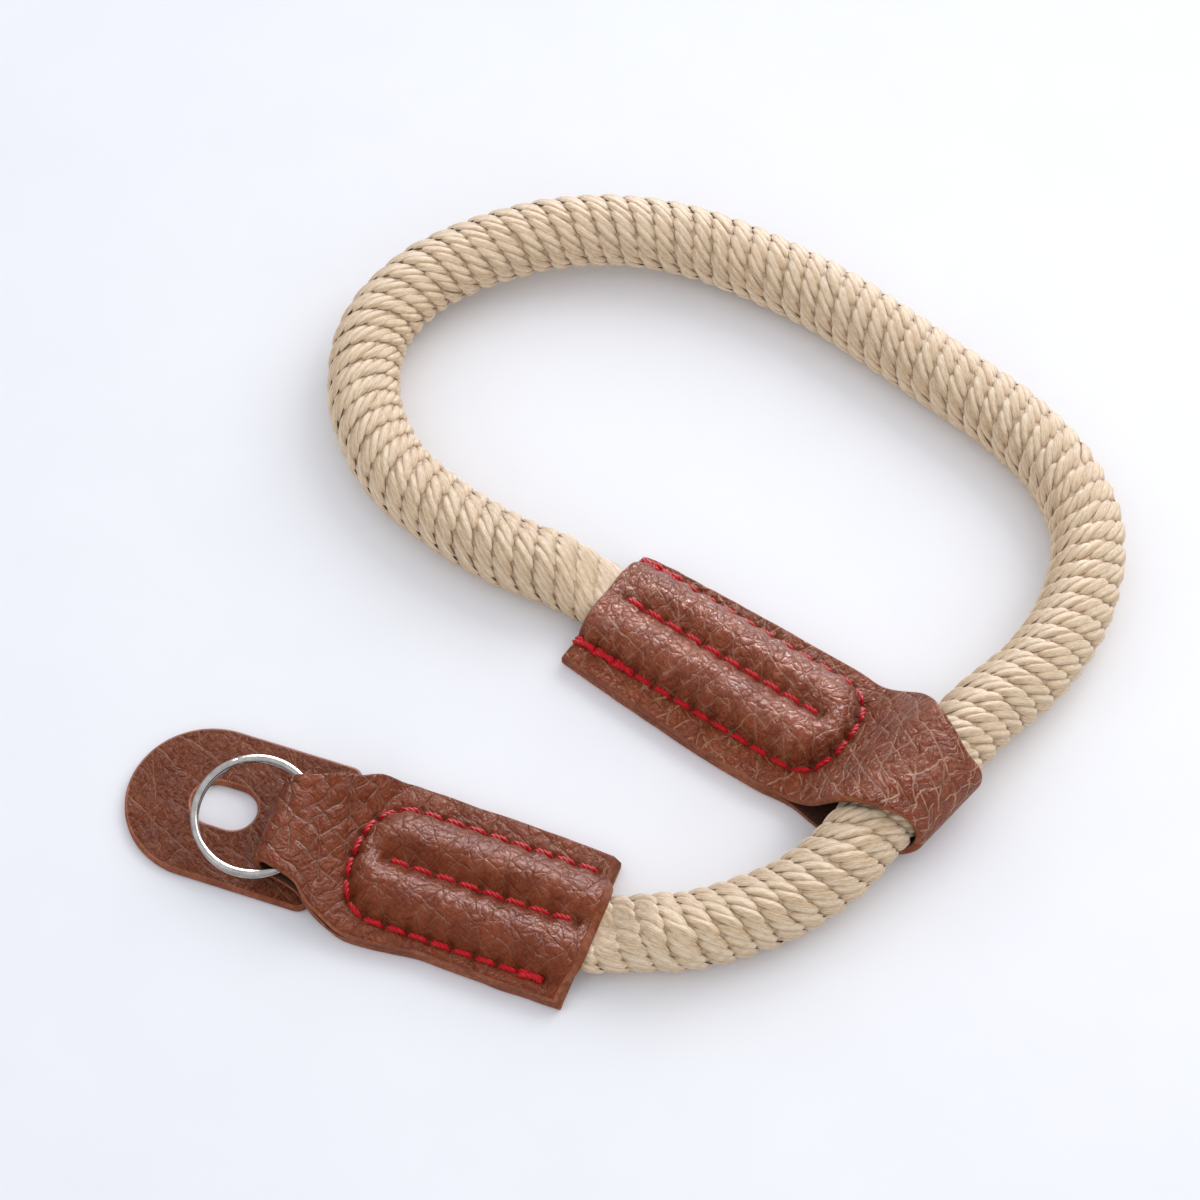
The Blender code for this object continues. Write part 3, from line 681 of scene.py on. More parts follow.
def make_rope(name, skin, surface):
    """Solid braid: leaf shaped stitches of yarn laid in three helical rows over a core painted
    dark as shade.

    Tones: how much painted shade a place gets where it lies deep between leaves, how warm its
    leaf is, and the leaf's own number.
    """
    points, faces, uvs, tones = [], [], [], []
    rows = []
    for i in range(0, len(skin.axis), 3):
        row = []
        for k in range(CORE_AROUND):
            row.append(len(points))
            points.append(skin.at(i * skin.step, math.tau * k / CORE_AROUND, -CORE_DEPTH))
            uvs.append((0.0, 0.0))
            # the core shows only in the gaps between leaves, so painted shade makes it dark
            tones.append((0.8, 0.5, 0.0))
        rows.append(row)
    tube(faces, rows)

    start = skin.leaves_tab * skin.step - ROPE_FLARE - HIDDEN
    end = skin.meets_slider * skin.step + ROPE_FLARE + HIDDEN
    forward = ROW_STARTS * ROW_PITCH / LEAVES_AROUND
    sideways = math.tau * ROPE_RADIUS / LEAVES_AROUND
    for row in range(ROW_STARTS):
        for n in range(int((end - start) / forward)):
            seed = row * 1000.0 + n
            jitter = [noise.noise(Vector((seed * 1.37, k * 5.1, 0.5))) for k in range(6)]
            middle = start + row * ROW_PITCH + n * forward + 0.20 * MM * jitter[0]
            if middle > end:
                continue
            turn = math.radians(6.0 * jitter[2])
            from_ends = min(middle - start, end - middle) - HIDDEN
            pressed = 1.0 - smoothstep((from_ends - 0.6 * ROPE_FLARE) / ROPE_FLARE)
            scale = 1.0 + 0.12 * jitter[3] + 0.22 * pressed
            warm, own = 0.5 + 0.5 * jitter[5], (seed * 0.377) % 1.0
            s, w, reached = middle, n * sideways + 0.20 * MM * jitter[1], 0.0
            grid = []
            for t, heading, width, lift, cross, deep in LEAF:
                bend = math.radians(heading) + turn
                s += (t - reached) * MM * math.cos(bend)
                w += (t - reached) * MM * math.sin(bend)
                reached = t
                line = []
                for share in LEAF_SHARES:
                    off = width * scale * share * MM
                    place = s + math.cos(math.radians(cross)) * off
                    round_to = (w + math.sin(math.radians(cross)) * off) / ROPE_RADIUS
                    crown = 0.80 * width * (1.0 - math.sqrt(1.0 - 0.92 * share * share))
                    height = (lift - crown + 0.08 * jitter[4]) * MM
                    line.append(len(points))
                    points.append(skin.at(place, round_to, height))
                    uvs.append((share * width, t))
                    # painted shade at the leaf's sides and ends, where it tucks under its
                    # neighbours
                    edge = max(0.0, (abs(share) - 0.6) / 0.4) ** 2
                    tones.append((min(1.0, deep + 0.5 * edge), warm, own))
                grid.append(line)
            for first, second in zip(grid, grid[1:]):
                for k in range(len(LEAF_SHARES) - 1):
                    faces.append((first[k], second[k], second[k + 1], first[k + 1]))
    return make_mesh(name, points, faces, uvs, [surface], tones=tones)


# ---- thread

class Thread:
    """Gathers lengths of twisted sewing thread into one mesh."""

    def __init__(self):
        self.points, self.faces, self.uvs = [], [], []

    def strand(self, line, radius, plies=3, lay=2.1 * MM, phase=0.0, sides=7):
        """One length of thread: plies wound round each other along a line of points."""
        before, after = line[:1] + line[:-1], line[1:] + line[-1:]
        tangents = [(b - a).normalized() for a, b in zip(before, after)]
        up = Vector((0, 0, 1)) if abs(tangents[0].z) < 0.9 else Vector((1, 0, 0))
        frames = []
        for tangent in tangents:
            side = up.cross(tangent).normalized()
            up = tangent.cross(side).normalized()
            frames.append((side, up))
        run = [0.0]
        for first, second in zip(line, line[1:]):
            run.append(run[-1] + (second - first).length)
        ply = radius * 0.56
        reach = radius - ply
        for n in range(plies):
            rings = []
            for i, point in enumerate(line):
                side, high = frames[i]
                turn = phase + math.tau * (run[i] / lay + n / plies)
                centre = point + (side * math.cos(turn) + high * math.sin(turn)) * reach
                ring = []
                for k in range(sides):
                    angle = math.tau * k / sides
                    ring.append(len(self.points))
                    off = side * math.cos(angle) + high * math.sin(angle)
                    self.points.append(centre + off * ply)
                    self.uvs.append((k / sides + n * 0.37, run[i] / MM))
                rings.append(ring)
            tube(self.faces, rings, flip=True)

    def finish(self, name, surface):
        """All the gathered thread as one object."""
        return make_mesh(name, self.points, self.faces, self.uvs, [surface])


def sew(name, sleeve, surface, doubled):
    """All the stitches of one sleeve, above and below. doubled: back tacks at the mouth."""
    thread = Thread()
    for line, seam in enumerate(sleeve.seams):
        holes = sleeve.holes(line)
        last = len(seam) - 1
        for n, (first, second) in enumerate(zip(holes, holes[1:])):
            back_tack = (line == 0) and (n < doubled[0] or n >= len(holes) - 1 - doubled[1])
            for offset in BACK_TACK if back_tack else (0.0,):
                top = []
                for i in range(13):
                    share = i / 12
                    index = min(last, round(mix(first, second, share)))
                    spot = seam[index]
                    ahead = seam[min(index + 3, last)] - seam[max(index - 3, 0)]
                    aside = Vector((-ahead.y, ahead.x, 0.0)).normalized()
                    uneven = 0.06 * MM * noise.noise(Vector((n * 3.1, line * 9.7, share)))
                    place = spot + aside * (offset * math.cos(2.4 * share) + uneven)
                    from_hole = min(share, 1 - share) * STITCH / MM
                    arch = from_hole / 0.6 if back_tack else (from_hole - 0.22) / 0.62
                    level = sleeve.top(spot.x) + sleeve.lean(spot.x, spot.y) - 0.16 * MM
                    if line == 1:
                        level += sleeve.ridge_height(spot.x, spot.y) - 0.06 * MM
                    sunk = level - (0.22 if back_tack else 0.85) * MM
                    high = level + (0.34 if back_tack else 0.20 - 0.12 * line) * MM
                    height = mix(sunk, high, smoothstep(arch))
                    top.append(sleeve.world(place.x, place.y, height))
                thread.strand(top, THREAD_RADIUS, phase=n * 1.3 + offset * 900)
            under = []
            for i in range(9):
                share = i / 8
                index = min(last, round(mix(first, second, share)))
                spot = seam[index]
                arch = smoothstep(min(share, 1 - share) / 0.5 / 0.42)
                height = sleeve.bottom(spot.x) + mix(1.0 * MM, 0.36 * MM, arch)
                under.append(sleeve.world(spot.x, spot.y, height))
            thread.strand(under, UNDER_RADIUS, phase=n * 0.9, sides=6)
    return thread.finish(name, surface)


# ---- split ring

def make_ring(name, tab, surface):
    """Two turns of polished wire with one short step between them."""
    outer_diameter, width, height = 16.6 * MM, 1.0 * MM, 0.75 * MM
    gap, turns, step_start, step_span = 0.1 * MM, 1.97, math.radians(118), math.radians(46)
    ring_across, from_fold, slope_out = 0.85 * MM, 1.9 * MM, 0.05
    middle = (outer_diameter - width) / 2
    steps, around = 190, 16
    profile = []
    for k in range(around):
        angle = math.tau * (k + 0.5) / around
        profile.append((math.cos(angle) * width / 2, math.sin(angle) * height / 2))

    along = tab.length + from_fold
    rise = slope_out * (along - tab.fold_centre)
    level = tab.fold_height + tab.lean(tab.length, ring_across) + rise
    centre = tab.world(along, ring_across, level)
    slope = tab.side * -tab.twist + tab.axis * slope_out
    tilt = Vector((0, 0, 1)).rotation_difference(Vector((-slope.x, -slope.y, 1.0)).normalized())

    points, faces, uvs, rings = [], [], [], []
    # two steps more at each end round it off
    for i in range(-2, steps + 3):
        turned = turns * math.tau * min(max(i, 0), steps) / steps
        past = max(-i, i - steps, 0) / 2
        shrink = math.sqrt(1.0 - 0.85 * past**2)
        turned += past * 0.012 * (-1 if i < 0 else 1)
        count = max(0, math.floor(turned / math.tau))
        within = turned - count * math.tau
        lift = smoothstep((within - math.tau + step_span) / step_span)
        level = (height + gap) * (count + lift * (count < 1) - 0.5)
        angle = step_start + turned
        outward = Vector((math.cos(angle), math.sin(angle), 0.0))
        ring = []
        for k, (wide, high) in enumerate(profile):
            ring.append(len(points))
            spot = outward * (middle + wide * shrink) + Vector((0, 0, level + high * shrink))
            points.append(centre + tilt @ spot)
            uvs.append((k / around, turned * 8.0))
        rings.append(ring)
    tube(faces, rings)
    return make_mesh(name, points, faces, uvs, [surface])


# ---- pad

def arc(x, y, radius, start, sweep, count):
    """Points of an arc round a centre, with both its ends."""
    turns = [start + sweep * i / count for i in range(count + 1)]
    return [(x + radius * math.cos(turn), y + radius * math.sin(turn)) for turn in turns]


def pad_outline(length, width, corner, inset):
    """Outline with a straight inner end and a half round outer end, drawn in by inset."""
    radius = width / 2
    points = arc(corner, corner - radius, corner - inset, math.pi, math.pi / 2, 8)
    points += [(mix(corner, length - radius, i / 16), inset - radius) for i in range(1, 16)]
    points += arc(length - radius, 0.0, radius - inset, -math.pi / 2, math.pi, 64)
    points += [(mix(length - radius, corner, i / 16), radius - inset) for i in range(1, 16)]
    points += arc(corner, radius - corner, corner - inset, math.pi / 2, math.pi / 2, 8)
    points += [(inset, mix(radius - corner, corner - radius, i / 20)) for i in range(1, 20)]
    return points


def slot_outline(length, width, inset, grow):
    """Slot outline, a bar with two round ends, made larger by grow, with a small nick."""
    nick_at, nick_half, nick_deep = 15.6 * MM, 0.9 * MM, 0.45 * MM
    radius = width / 2
    points = []
    for start, centre in ((-math.pi / 2, inset + length - radius), (math.pi / 2, inset + radius)):
        for x, y in arc(centre, 0.0, radius + grow, start, math.pi, 24):
            off = abs(x - nick_at) / nick_half
            points.append((x, y + nick_deep * (1 - off) if y > 0 and off < 1.0 else y))
    return points


def make_pad(name, tab, materials):
    """Loose leather pad with one slot and rounded cut edges, lying flat."""
    length, width, corner = 28.7 * MM, 21.9 * MM, 1.6 * MM
    slot_length, slot_width, slot_inset = 8.8 * MM, 6.35 * MM, 11.1 * MM
    flat_inset, low = 0.9 * MM, 0.2 * MM
    placed = Matrix.Translation(tab.world(tab.length - 8.1 * MM, -1.55 * MM, 0.0))
    placed = placed @ Matrix.Rotation(tab.heading + math.radians(1.6), 4, "Z")
    points, faces, uvs, slots = [], [], [], []

    def ring(outline, height):
        made = []
        for x, y in outline:
            made.append(len(points))
            wave = 0.05 * MM * wobble(x, y, 4.0, 5 * MM) if height > 0.5 * PAD_TOP else 0.0
            points.append(placed @ Vector((x, y, max(0.0, height + wave))))
            uvs.append((x / MM, y / MM))
        return made

    def band(first, second, slot):
        count = len(first)
        for k in range(count):
            n = (k + 1) % count
            faces.append((first[k], first[n], second[n], second[k]))
            slots.append(slot)

    def cover(outer, slot, height):
        """Rows over the flat between the rim and the slot that blend from one to the other."""
        middle, steps = 15.8, 14
        turns = sorted((math.atan2(uvs[i][1], uvs[i][0] - middle), i) for i in slot)

        def slot_point(angle):
            """Point of the slot's rim in a direction from the slot's middle, in mm."""
            for k, (end, second) in enumerate(turns):
                start, first = turns[k - 1]
                start -= math.tau if k == 0 else 0.0
                if start <= angle <= end:
                    share = (angle - start) / max(1e-9, end - start)
                    return [mix(a, b, share) for a, b in zip(uvs[first], uvs[second])]
            return slot_point(angle - math.tau)

        inner = [slot_point(math.atan2(uvs[i][1], uvs[i][0] - middle)) for i in outer]
        before = outer
        for step in range(1, steps + 1):
            share = step / steps
            line = []
            for i, (x, y) in zip(outer, inner):
                line.append((mix(uvs[i][0], x, share) * MM, mix(uvs[i][1], y, share) * MM))
            after = ring(line, height)
            first, second = (before, after) if height else (after, before)
            band(first, second, FACE)
            before = after

    profile = [(flat_inset, PAD_TOP)]
    for i in range(5):
        angle = math.pi / 2 * i / 4
        height = PAD_TOP - EDGE_ROUND * (1 - math.cos(angle))
        profile.append((EDGE_ROUND * (1 - math.sin(angle)), height))
    profile += [(-0.03 * MM, 0.6 * PAD_TOP), (0.0, low), (low, 0.0), (flat_inset, 0.0)]
    rims = []
    for outline in ("outer", "slot"):
        rings = []
        for inset, height in profile:
            if outline == "outer":
                shape = pad_outline(length, width, corner, inset)
            else:
                shape = slot_outline(slot_length, slot_width, slot_inset, inset)[::-1]
            rings.append(ring(shape, height))
        for i, (first, second) in enumerate(zip(rings, rings[1:])):
            band(second, first, FACE if i < 1 or i > len(rings) - 4 else CUT)
        rims.append(rings)
    outer, slot = rims
    cover(outer[0], slot[0], PAD_TOP)
    cover(outer[-1], slot[-1], 0.0)
    return make_mesh(name, points, faces, uvs, materials, slots)


# ---- materials

class Wire:
    """A value inside a material. Sums and products written with it become nodes."""

    def __init__(self, shader, socket):
        self.shader, self.socket = shader, socket

    def __add__(self, other):
        return self.shader.sum("ADD", self, other)

    def __sub__(self, other):
        return self.shader.sum("SUBTRACT", self, other)

    def __mul__(self, other):
        return self.shader.sum("MULTIPLY", self, other)


class Shader:
    """Short ways to lay out a material's nodes."""

    def __init__(self, name, **settings):
        self.material = bpy.data.materials.new(name)
        self.material.use_nodes = True
        self.tree = self.material.node_tree
        self.surface = self.tree.nodes["Principled BSDF"]
        self.wear(**settings)

    def feed(self, socket, value):
        """Link a value to a socket, or set the socket to it."""
        if isinstance(value, Wire):
            self.tree.links.new(value.socket, socket)
        elif isinstance(value, tuple) and len(value) == 3 and socket.type == "RGBA":
            socket.default_value = (*value, 1.0)
        else:
            socket.default_value = value

    def add(self, kind, inputs, out=0, **settings):
        """Add a node, feed its inputs and hand back one of its outputs."""
        made = self.tree.nodes.new("ShaderNode" + kind)
        for key, value in settings.items():
            setattr(made, key, value)
        for key, value in inputs.items():
            self.feed(made.inputs[key], value)
        return Wire(self, made.outputs[out])

    def split(self, kind, value):
        """The three parts of a vector or a colour."""
        node = self.add(kind, {0: value}).socket.node
        return [Wire(self, socket) for socket in node.outputs]

    def uv(self, scale=(1.0, 1.0, 1.0)):
        """Lengths in mm over the surface, times a scale."""
        place = self.add("UVMap", {}, uv_map="surface")
        return self.add("Mapping", {"Vector": place, "Scale": scale})

    def tone(self):
        """The three shares that the mesh carries in its tone colours."""
        colour = self.add("Attribute", {}, "Color", attribute_name="tone")
        return self.split("SeparateColor", colour)

    def sum(self, operation, first, second=0.0, clamp=False):
        inputs = {0: first, 1: second}
        return self.add("Math", inputs, operation=operation, use_clamp=clamp)

    def vector(self, operation, first, second, out="Vector"):
        return self.add("VectorMath", {0: first, 1: second}, out, operation=operation)

    def noise(self, place, scale, detail=3.0, rough=0.55, out=0):
        inputs = {"Vector": place, "Scale": scale, "Detail": detail, "Roughness": rough}
        return self.add("TexNoise", inputs, out)

    def cells(self, place, scale, random):
        """Distance from the edges between scattered cells."""
        inputs = {"Vector": place, "Scale": scale, "Randomness": random}
        settings = {"feature": "DISTANCE_TO_EDGE", "voronoi_dimensions": "2D"}
        return self.add("TexVoronoi", inputs, "Distance", **settings)

    def creases(self, place, turn, pitch, hide):
        """Distance in mm from the nearest of many long lines, which fade where hide is large."""
        along = (-math.sin(turn) / pitch, math.cos(turn) / pitch, 0.0)
        across = self.vector("DOT_PRODUCT", place, along, "Value")
        return self.sum("PINGPONG", across, 0.5) * pitch + hide

    def wrinkles(self, place, turn, length, width):
        """Thin lines that run in one direction: 1 on a line, 0 beside it."""
        turned = self.add("Mapping", {"Vector": place, "Rotation": (0.0, 0.0, -turn)})
        scale = (1.0 / length, 1.0 / width, 1.0)
        drawn = self.noise(self.add("Mapping", {"Vector": turned, "Scale": scale}), 1.0, 2.0, 0.6)
        return self.ramp(drawn, (0.44, 0.0), (0.50, 1.0), (0.56, 0.0))

    def ramp(self, factor, *stops):
        """Number or colour read off a row of (place, value) stops."""
        made = self.add("ValToRGB", {"Fac": factor}, "Color")
        band = made.socket.node.color_ramp
        while len(band.elements) < len(stops):
            band.elements.new(0.5)
        for element, (place, value) in zip(band.elements, stops):
            element.position = place
            element.color = (*value, 1.0) if isinstance(value, tuple) else (value,) * 3 + (1.0,)
        return made

    def blend(self, factor, first, second, kind="MIX"):
        inputs = {0: factor, 6: first, 7: second}
        return self.add("Mix", inputs, 2, data_type="RGBA", blend_type=kind)

    def bump(self, height, distance, strength=1.0):
        return self.add("Bump", {"Height": height, "Distance": distance, "Strength": strength})

    def wear(self, **sockets):
        """Feed the surface's own sockets and hand back the material."""
        for key, value in sockets.items():
            self.feed(self.surface.inputs[key.replace("_", " ")], value)
        return self.material


def srgb(red, green, blue):
    """Linear colour from the usual 0 to 255 numbers."""
    shares = (value / 255.0 for value in (red, green, blue))
    return tuple(v / 12.92 if v <= 0.04045 else ((v + 0.055) / 1.055) ** 2.4 for v in shares)


def rope_material():
    """Beige yarn: each leaf shows its plies and fibres, and painted shade where it dives between
    others.
    """
    s = Shader(
        "rope", Roughness=0.62, Specular_IOR_Level=0.3, Sheen_Weight=0.25, Sheen_Roughness=0.45
    )
    deep, tint, seed = s.tone()
    across, along, _ = s.split("SeparateXYZ", s.add("UVMap", {}, uv_map="surface"))
    ply = s.sum("COSINE", (across * 0.85 + along * 0.10 + seed) * math.tau) * 0.5 + 0.5
    place = s.add("CombineXYZ", {0: across * 7.0 + along * 1.1, 1: along * 0.55, 2: seed * 60.0})
    fibre = s.noise(place, 1.6, 4.0, 0.65)
    yarn = s.ramp(
        fibre * 0.88 + ply * 0.12,
        (0.33, srgb(188, 158, 122)), (0.5, srgb(220, 196, 163)), (0.67, srgb(243, 226, 201)),
    )
    warm = s.blend(tint * 0.6, yarn, s.blend(1.0, yarn, (0.95, 0.87, 0.80), "MULTIPLY"))
    # painted shade: darker brown where the leaves dive under each other and over the core
    dark = s.ramp(deep, (0.0, 0.0), (0.4, 0.12), (1.0, 0.6))
    colour = s.blend(dark, warm, srgb(152, 112, 72))
    return s.wear(Base_Color=colour, Normal=s.bump(ply * 0.45 + fibre * 0.8, 0.13 * MM, 0.75))


# Leather's body from its dark to its light blotches, and the colours that are laid over it
BODY_STOPS = ((0.36, (108, 40, 14)), (0.50, (128, 55, 26)), (0.64, (147, 72, 40)))
# Painted shade, laid into the creases and into the sunken seams
PAINTED_SHADE_COLOUR = srgb(60, 20, 9)
FLAT_COLOUR = srgb(96, 32, 12)
WRINKLE_COLOUR = srgb(202, 142, 108)
# Pale crease lines: partly the leather's own pale creases, partly painted highlight on the crease
# edges
PALE_CREASE_AND_HIGHLIGHT_COLOUR = srgb(226, 172, 140)
# What bends the creases: size of its noise, and how far it moves them in mm
CREASE_WARPS = ((0.20, 1.9), (0.9, 0.50))
# Sets of creases: direction, spacing in mm, and where each reads the noise that fades it
CREASE_SETS = ((1.12, 2.3, 0.0), (-0.42, 2.6, 31.0), (2.0, 4.1, 57.0))
# Thin wrinkles: directions, length and width in mm
WRINKLE_TURNS = (1.12, -0.50)
WRINKLE_SIZE = (2.4, 0.36)


def leather_material(name, light, pale, creased, gloss, coat, pebbled, pitch=1.0, relief=1.0):
    """Reddish brown leather with crossing creases.

    light: brightness, set for each piece as painted light and shade, so the one leather is lighter
    on the slider and darker on the tab and pad. pale: how much its pale lines show, which are
    partly painted highlight. creased: how much painted shade darkens its creases, and how deep
    they are. gloss, coat: shine everywhere and on the ridges. pebbled: height of the pebbles on
    the
    ridges. pitch: spacing of the creases. relief: depth of all small forms.
    """
    s = Shader(name, Specular_IOR_Level=gloss, Coat_Roughness=0.32)
    crest, dip, plain = s.tone()
    flat = s.sum("SUBTRACT", 1.0, crest, True)
    uv = s.uv()
    bent = uv
    for scale, reach in CREASE_WARPS:
        warp = s.noise(uv, scale, 1.0, 0.5, "Color")
        bent = s.vector("ADD", bent, s.vector("MULTIPLY", warp, (reach, reach, reach)))
    fine = s.noise(uv, 5.0, 4.0, 0.65)
    patch = s.noise(uv, 0.20, 2.0)
    pore = s.noise(uv, 1.7, 4.0)
    # distance from the nearest crease
    near = 2.0
    for turn, step, seed in CREASE_SETS:
        place = s.add("Mapping", {"Vector": uv, "Location": (seed, seed, 0.0)})
        hide = s.ramp(s.noise(place, 0.24, 1.0), (0.54, 0.0), (0.64, 0.35))
        near = s.sum("MINIMUM", near, s.creases(bent, turn, step * pitch, hide))
    streak = s.sum("MAXIMUM", *(s.wrinkles(bent, turn, *WRINKLE_SIZE) for turn in WRINKLE_TURNS))
    drawn = streak * (flat * 0.8 + 1.0)

    # heights: pillows between the creases, pebbles, soft swellings and thin wrinkles
    pillow = s.ramp(near, (0.0, 0.0), (0.05, 0.35), (0.15, 0.55), (0.50, 0.86), (1.0, 1.0))
    pebble = s.ramp(
        s.cells(bent, 0.70, 0.9), (0.0, 0.0), (0.06, 0.38), (0.22, 0.75), (0.5, 1.0)
    )
    height = pillow * (plain * (0.30 + 0.25 * creased) + 0.50)
    height += pebble * (crest * pebbled + 0.20)
    height += pebble * (flat * (0.44 * max(pale - 0.5, 0.0)))
    height += s.noise(uv, 0.42, 1.0) * (flat * 0.5 + 0.3)
    height = height - drawn * (0.04 + 0.09 * pale) + fine * 0.05

    # colours: blotches, painted shade in the creases, pale wrinkles, darker flats, pale crease
    # lines that are partly painted highlight, and painted shade in the sunken seams
    body = s.ramp(
        patch * 0.5 + pore * 0.35 + fine * 0.15,
        *((place, srgb(*(part * light for part in colour))) for place, colour in BODY_STOPS)
    )
    # painted shade darkening the creases
    crease_shade = s.ramp(near, (0.0, 0.9 * creased), (0.07, 0.6 * creased), (0.18, 0.0))
    colour = s.blend(crease_shade * (plain * 0.75 + 0.25), body, PAINTED_SHADE_COLOUR)
    colour = s.blend(drawn * (0.24 * pale), colour, WRINKLE_COLOUR)
    colour = s.blend(flat * (0.22 * pale), colour, FLAT_COLOUR)
    # pale lines along the creases: partly the leather's own colour, partly painted highlight
    broken = s.ramp(s.noise(uv, 0.35, 1.0) + plain * 0.06, (0.37, 0.0), (0.49, pale))
    line = s.ramp(near, (0.0, 1.0), (0.05, 0.85), (0.08 + 0.07 * pale, 0.0))
    colour = s.blend(line * (broken * (plain * 0.58 + 0.42)), colour, PALE_CREASE_AND_HIGHLIGHT_COLOUR)
    # painted shade in the seams, where the thread pulls the face down
    colour = s.blend(s.sum("MULTIPLY", dip, 0.30, True), colour, PAINTED_SHADE_COLOUR)

    rough = s.ramp(fine * 0.5 + pore * 0.5, (0.35, 0.28), (0.65, 0.41))
    normal = s.bump(height, 0.48 * relief * MM)
    shine = crest * (0.85 * coat) + 0.15 * coat
    return s.wear(
        Base_Color=colour, Roughness=rough, Normal=normal, Coat_Weight=shine, Coat_Normal=normal
    )


def edge_material():
    """Cut edge of the leather: paler, with the layers of fibre showing."""
    s = Shader("leather_edge", Roughness=0.70, Specular_IOR_Level=0.3)
    place = s.add("TexCoord", {}, "Object")
    fibre = s.noise(place, 1600.0, 4.0, 0.6)
    colour = s.ramp(
        fibre * 0.55 + s.noise(place, 260.0, 2.0) * 0.45,
        (0.3, srgb(96, 42, 24)), (0.5, srgb(138, 74, 45)), (0.72, srgb(180, 112, 76)),
    )
    return s.wear(Base_Color=colour, Normal=s.bump(fibre, 0.12 * MM, 0.6))


def flesh_material():
    """Inner side of the leather, brushed and dull."""
    s = Shader("leather_inside", Roughness=0.85, Specular_IOR_Level=0.25)
    fibre = s.noise(s.uv(), 3.0, 4.0, 0.65)
    colour = s.ramp(fibre, (0.3, srgb(50, 26, 18)), (0.7, srgb(84, 50, 36)))
    return s.wear(Base_Color=colour, Normal=s.bump(fibre, 0.15 * MM, 0.7))


def thread_material():
    """Red twisted thread with fine fibres along it."""
    s = Shader(
        "thread", Roughness=0.55, Specular_IOR_Level=0.2, Sheen_Weight=0.15, Sheen_Roughness=0.4
    )
    fibre = s.noise(s.uv((16.0, 1.6, 1.0)), 1.0, 3.0, 0.6)
    colour = s.ramp(
        fibre, (0.3, srgb(150, 6, 16)), (0.55, srgb(206, 16, 30)), (0.8, srgb(234, 50, 56))
    )
    return s.wear(Base_Color=colour, Normal=s.bump(fibre, 0.05 * MM, 0.6))


def steel_material():
    """Polished nickel with faint marks of wear."""
    s = Shader("steel", Metallic=1.0)
    mark = s.noise(s.add("TexCoord", {}, "Object"), 700.0, 3.0, 0.6)
    colour = s.ramp(mark, (0.3, srgb(158, 154, 149)), (0.7, srgb(190, 186, 181)))
    return s.wear(Base_Color=colour, Roughness=s.ramp(mark, (0.3, 0.15), (0.7, 0.23)))


def floor_material():
    """Plain pale surface with a painted pool of light round the strap: dimmer away from the
    middle.
    """
    s = Shader("floor", Roughness=0.7, Specular_IOR_Level=0.0)
    place = s.add("TexCoord", {}, "Object")
    mark = s.noise(place, 60.0, 2.0)
    away = s.vector("DISTANCE", place, (0.035, 0.020, 0.0), "Value")
    plain = s.ramp(mark, (0.3, srgb(245, 246, 249)), (0.7, srgb(247, 248, 251)))
    # painted shade: the floor is dimmed away from the middle, leaving a painted pool of light
    dull = s.blend(1.0, plain, (0.925, 0.93, 0.945), "MULTIPLY")
    return s.wear(Base_Color=s.blend(s.ramp(away, (0.02, 0.0), (0.15, 1.0)), plain, dull))


# ---- put together

def dress(piece, slot, *nodes):
    """A piece of the strap stands for the given nodes and lies with the strap."""
    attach(piece, "root")
    if nodes:
        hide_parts(*nodes)


tab_sleeve = Sleeve(TAB)
slider_sleeve = Sleeve(SLIDER)
rope_skin = RopeSkin(tab_sleeve, slider_sleeve)

# Painted light and shade: one leather made lighter on the slider and darker on the tab and pad
tab_leather = leather_material(
    "leather_tab", light=0.94, pale=0.36, creased=0.8, gloss=0.08, coat=0.16, pebbled=0.10,
    relief=0.7,
)
slider_leather = leather_material(
    "leather_slider", light=1.12, pale=1.0, creased=0.60, gloss=0.09, coat=0.52, pebbled=0.20
)
pad_leather = leather_material(
    "leather_pad", light=0.78, pale=0.50, creased=0.40, gloss=0.045, coat=0.0, pebbled=0.0,
    pitch=1.5, relief=0.6,
)
edge = edge_material()
flesh = flesh_material()
thread = thread_material()

rope_piece = make_rope("rope_braid", rope_skin, rope_material())
dress(rope_piece, "rope", "rope", "rope_end_tab", "rope_end_slider")
rope_path = [tuple(point) for point in rope_skin.middles]

tab_piece = make_sleeve("tab_leather", tab_sleeve, [tab_leather, edge, flesh])
slider_piece = make_sleeve("slider_leather", slider_sleeve, [slider_leather, edge, flesh])
dress(tab_piece, "leather", "ring_tab")
dress(slider_piece, "leather", "slider")
dress(sew("tab_stitches", tab_sleeve, thread, (0, 1)), "thread")
dress(sew("slider_stitches", slider_sleeve, thread, (3, 2)), "thread")
dress(make_ring("ring_wire", tab_sleeve, steel_material()), "steel", "split_ring")
dress(make_pad("pad_leather", tab_sleeve, [pad_leather, edge]), "leather", "ring_pad")


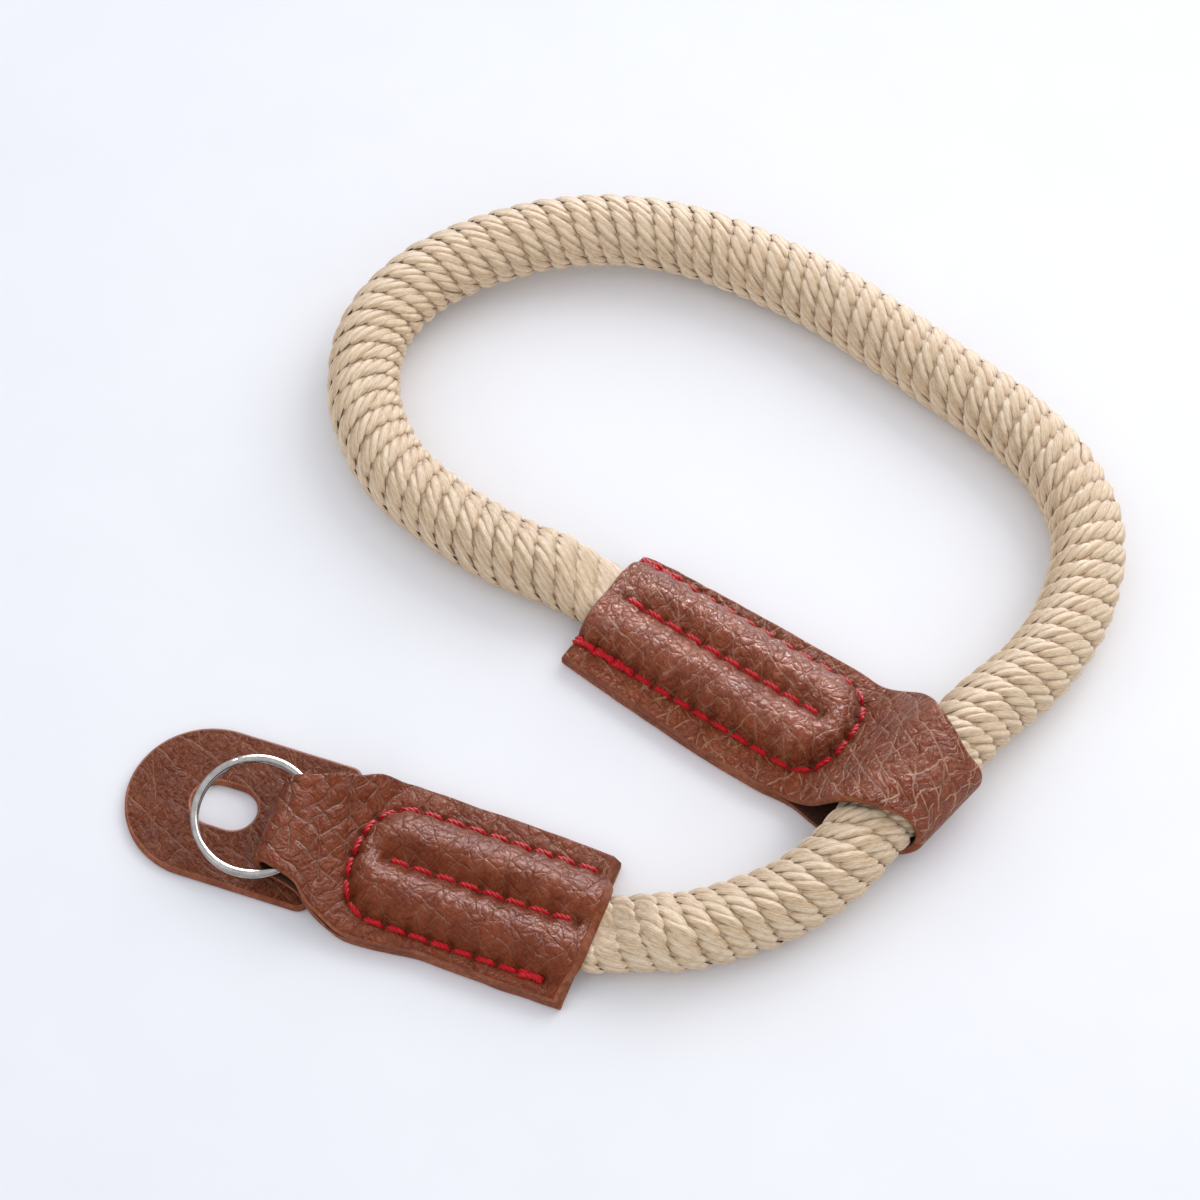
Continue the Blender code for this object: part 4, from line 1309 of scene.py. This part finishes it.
def add_floor():
    """A plain pale floor under everything."""
    size = 3.0
    data = bpy.data.meshes.new("floor")
    corners = [(-size, -size, 0), (size, -size, 0), (size, size, 0), (-size, size, 0)]
    data.from_pydata(corners, [], [(0, 1, 2, 3)])
    made = bpy.data.objects.new("floor", data)
    made.location.z = -0.05 * MM
    data.materials.append(floor_material())
    SCENE.collection.objects.link(made)


LIGHT_AIM = Vector((0.0, 0.01, 0.0))


def add_light(name, place, size, power, colour, lit=True):
    """A square soft box that faces the strap. lit=False: it only shows in reflections."""
    data = bpy.data.lights.new(name, "AREA")
    data.shape = "SQUARE"
    data.size = size
    data.energy = power
    data.color = colour
    made = bpy.data.objects.new(name, data)
    made.location = place
    aim = LIGHT_AIM - Vector(place)
    made.rotation_euler = aim.to_track_quat("-Z", "Y").to_euler()
    made.visible_diffuse = lit
    made.visible_camera = False
    SCENE.collection.objects.link(made)


def add_world():
    """Pale light from all round, weaker towards the horizon."""
    made = bpy.data.worlds.new("studio")
    made.use_nodes = True
    nodes, links = made.node_tree.nodes, made.node_tree.links
    place = nodes.new("ShaderNodeTexCoord")
    parts = nodes.new("ShaderNodeSeparateXYZ")
    ramp = nodes.new("ShaderNodeValToRGB")
    low, high = ramp.color_ramp.elements
    low.position, low.color = 0.02, (0.36, 0.37, 0.40, 1.0)
    high.position, high.color = 0.50, (0.94, 0.955, 1.0, 1.0)
    links.new(place.outputs["Generated"], parts.inputs[0])
    links.new(parts.outputs["Z"], ramp.inputs[0])
    links.new(ramp.outputs[0], nodes["Background"].inputs["Color"])
    nodes["Background"].inputs["Strength"].default_value = 0.91
    SCENE.world = made


add_floor()
add_world()
add_light("key", (0.46, 0.44, 0.50), 0.66, 2.8, (1.0, 0.985, 0.965))
add_light("fill", (-0.55, -0.25, 0.65), 0.7, 0.3, (0.94, 0.97, 1.0))
add_light("sheen", (0.22, 0.83, 0.50), 0.80, 58.0, (1.0, 0.95, 0.97), lit=False)
SCENE.view_settings.view_transform = "Standard"
SCENE.view_settings.look = "None"
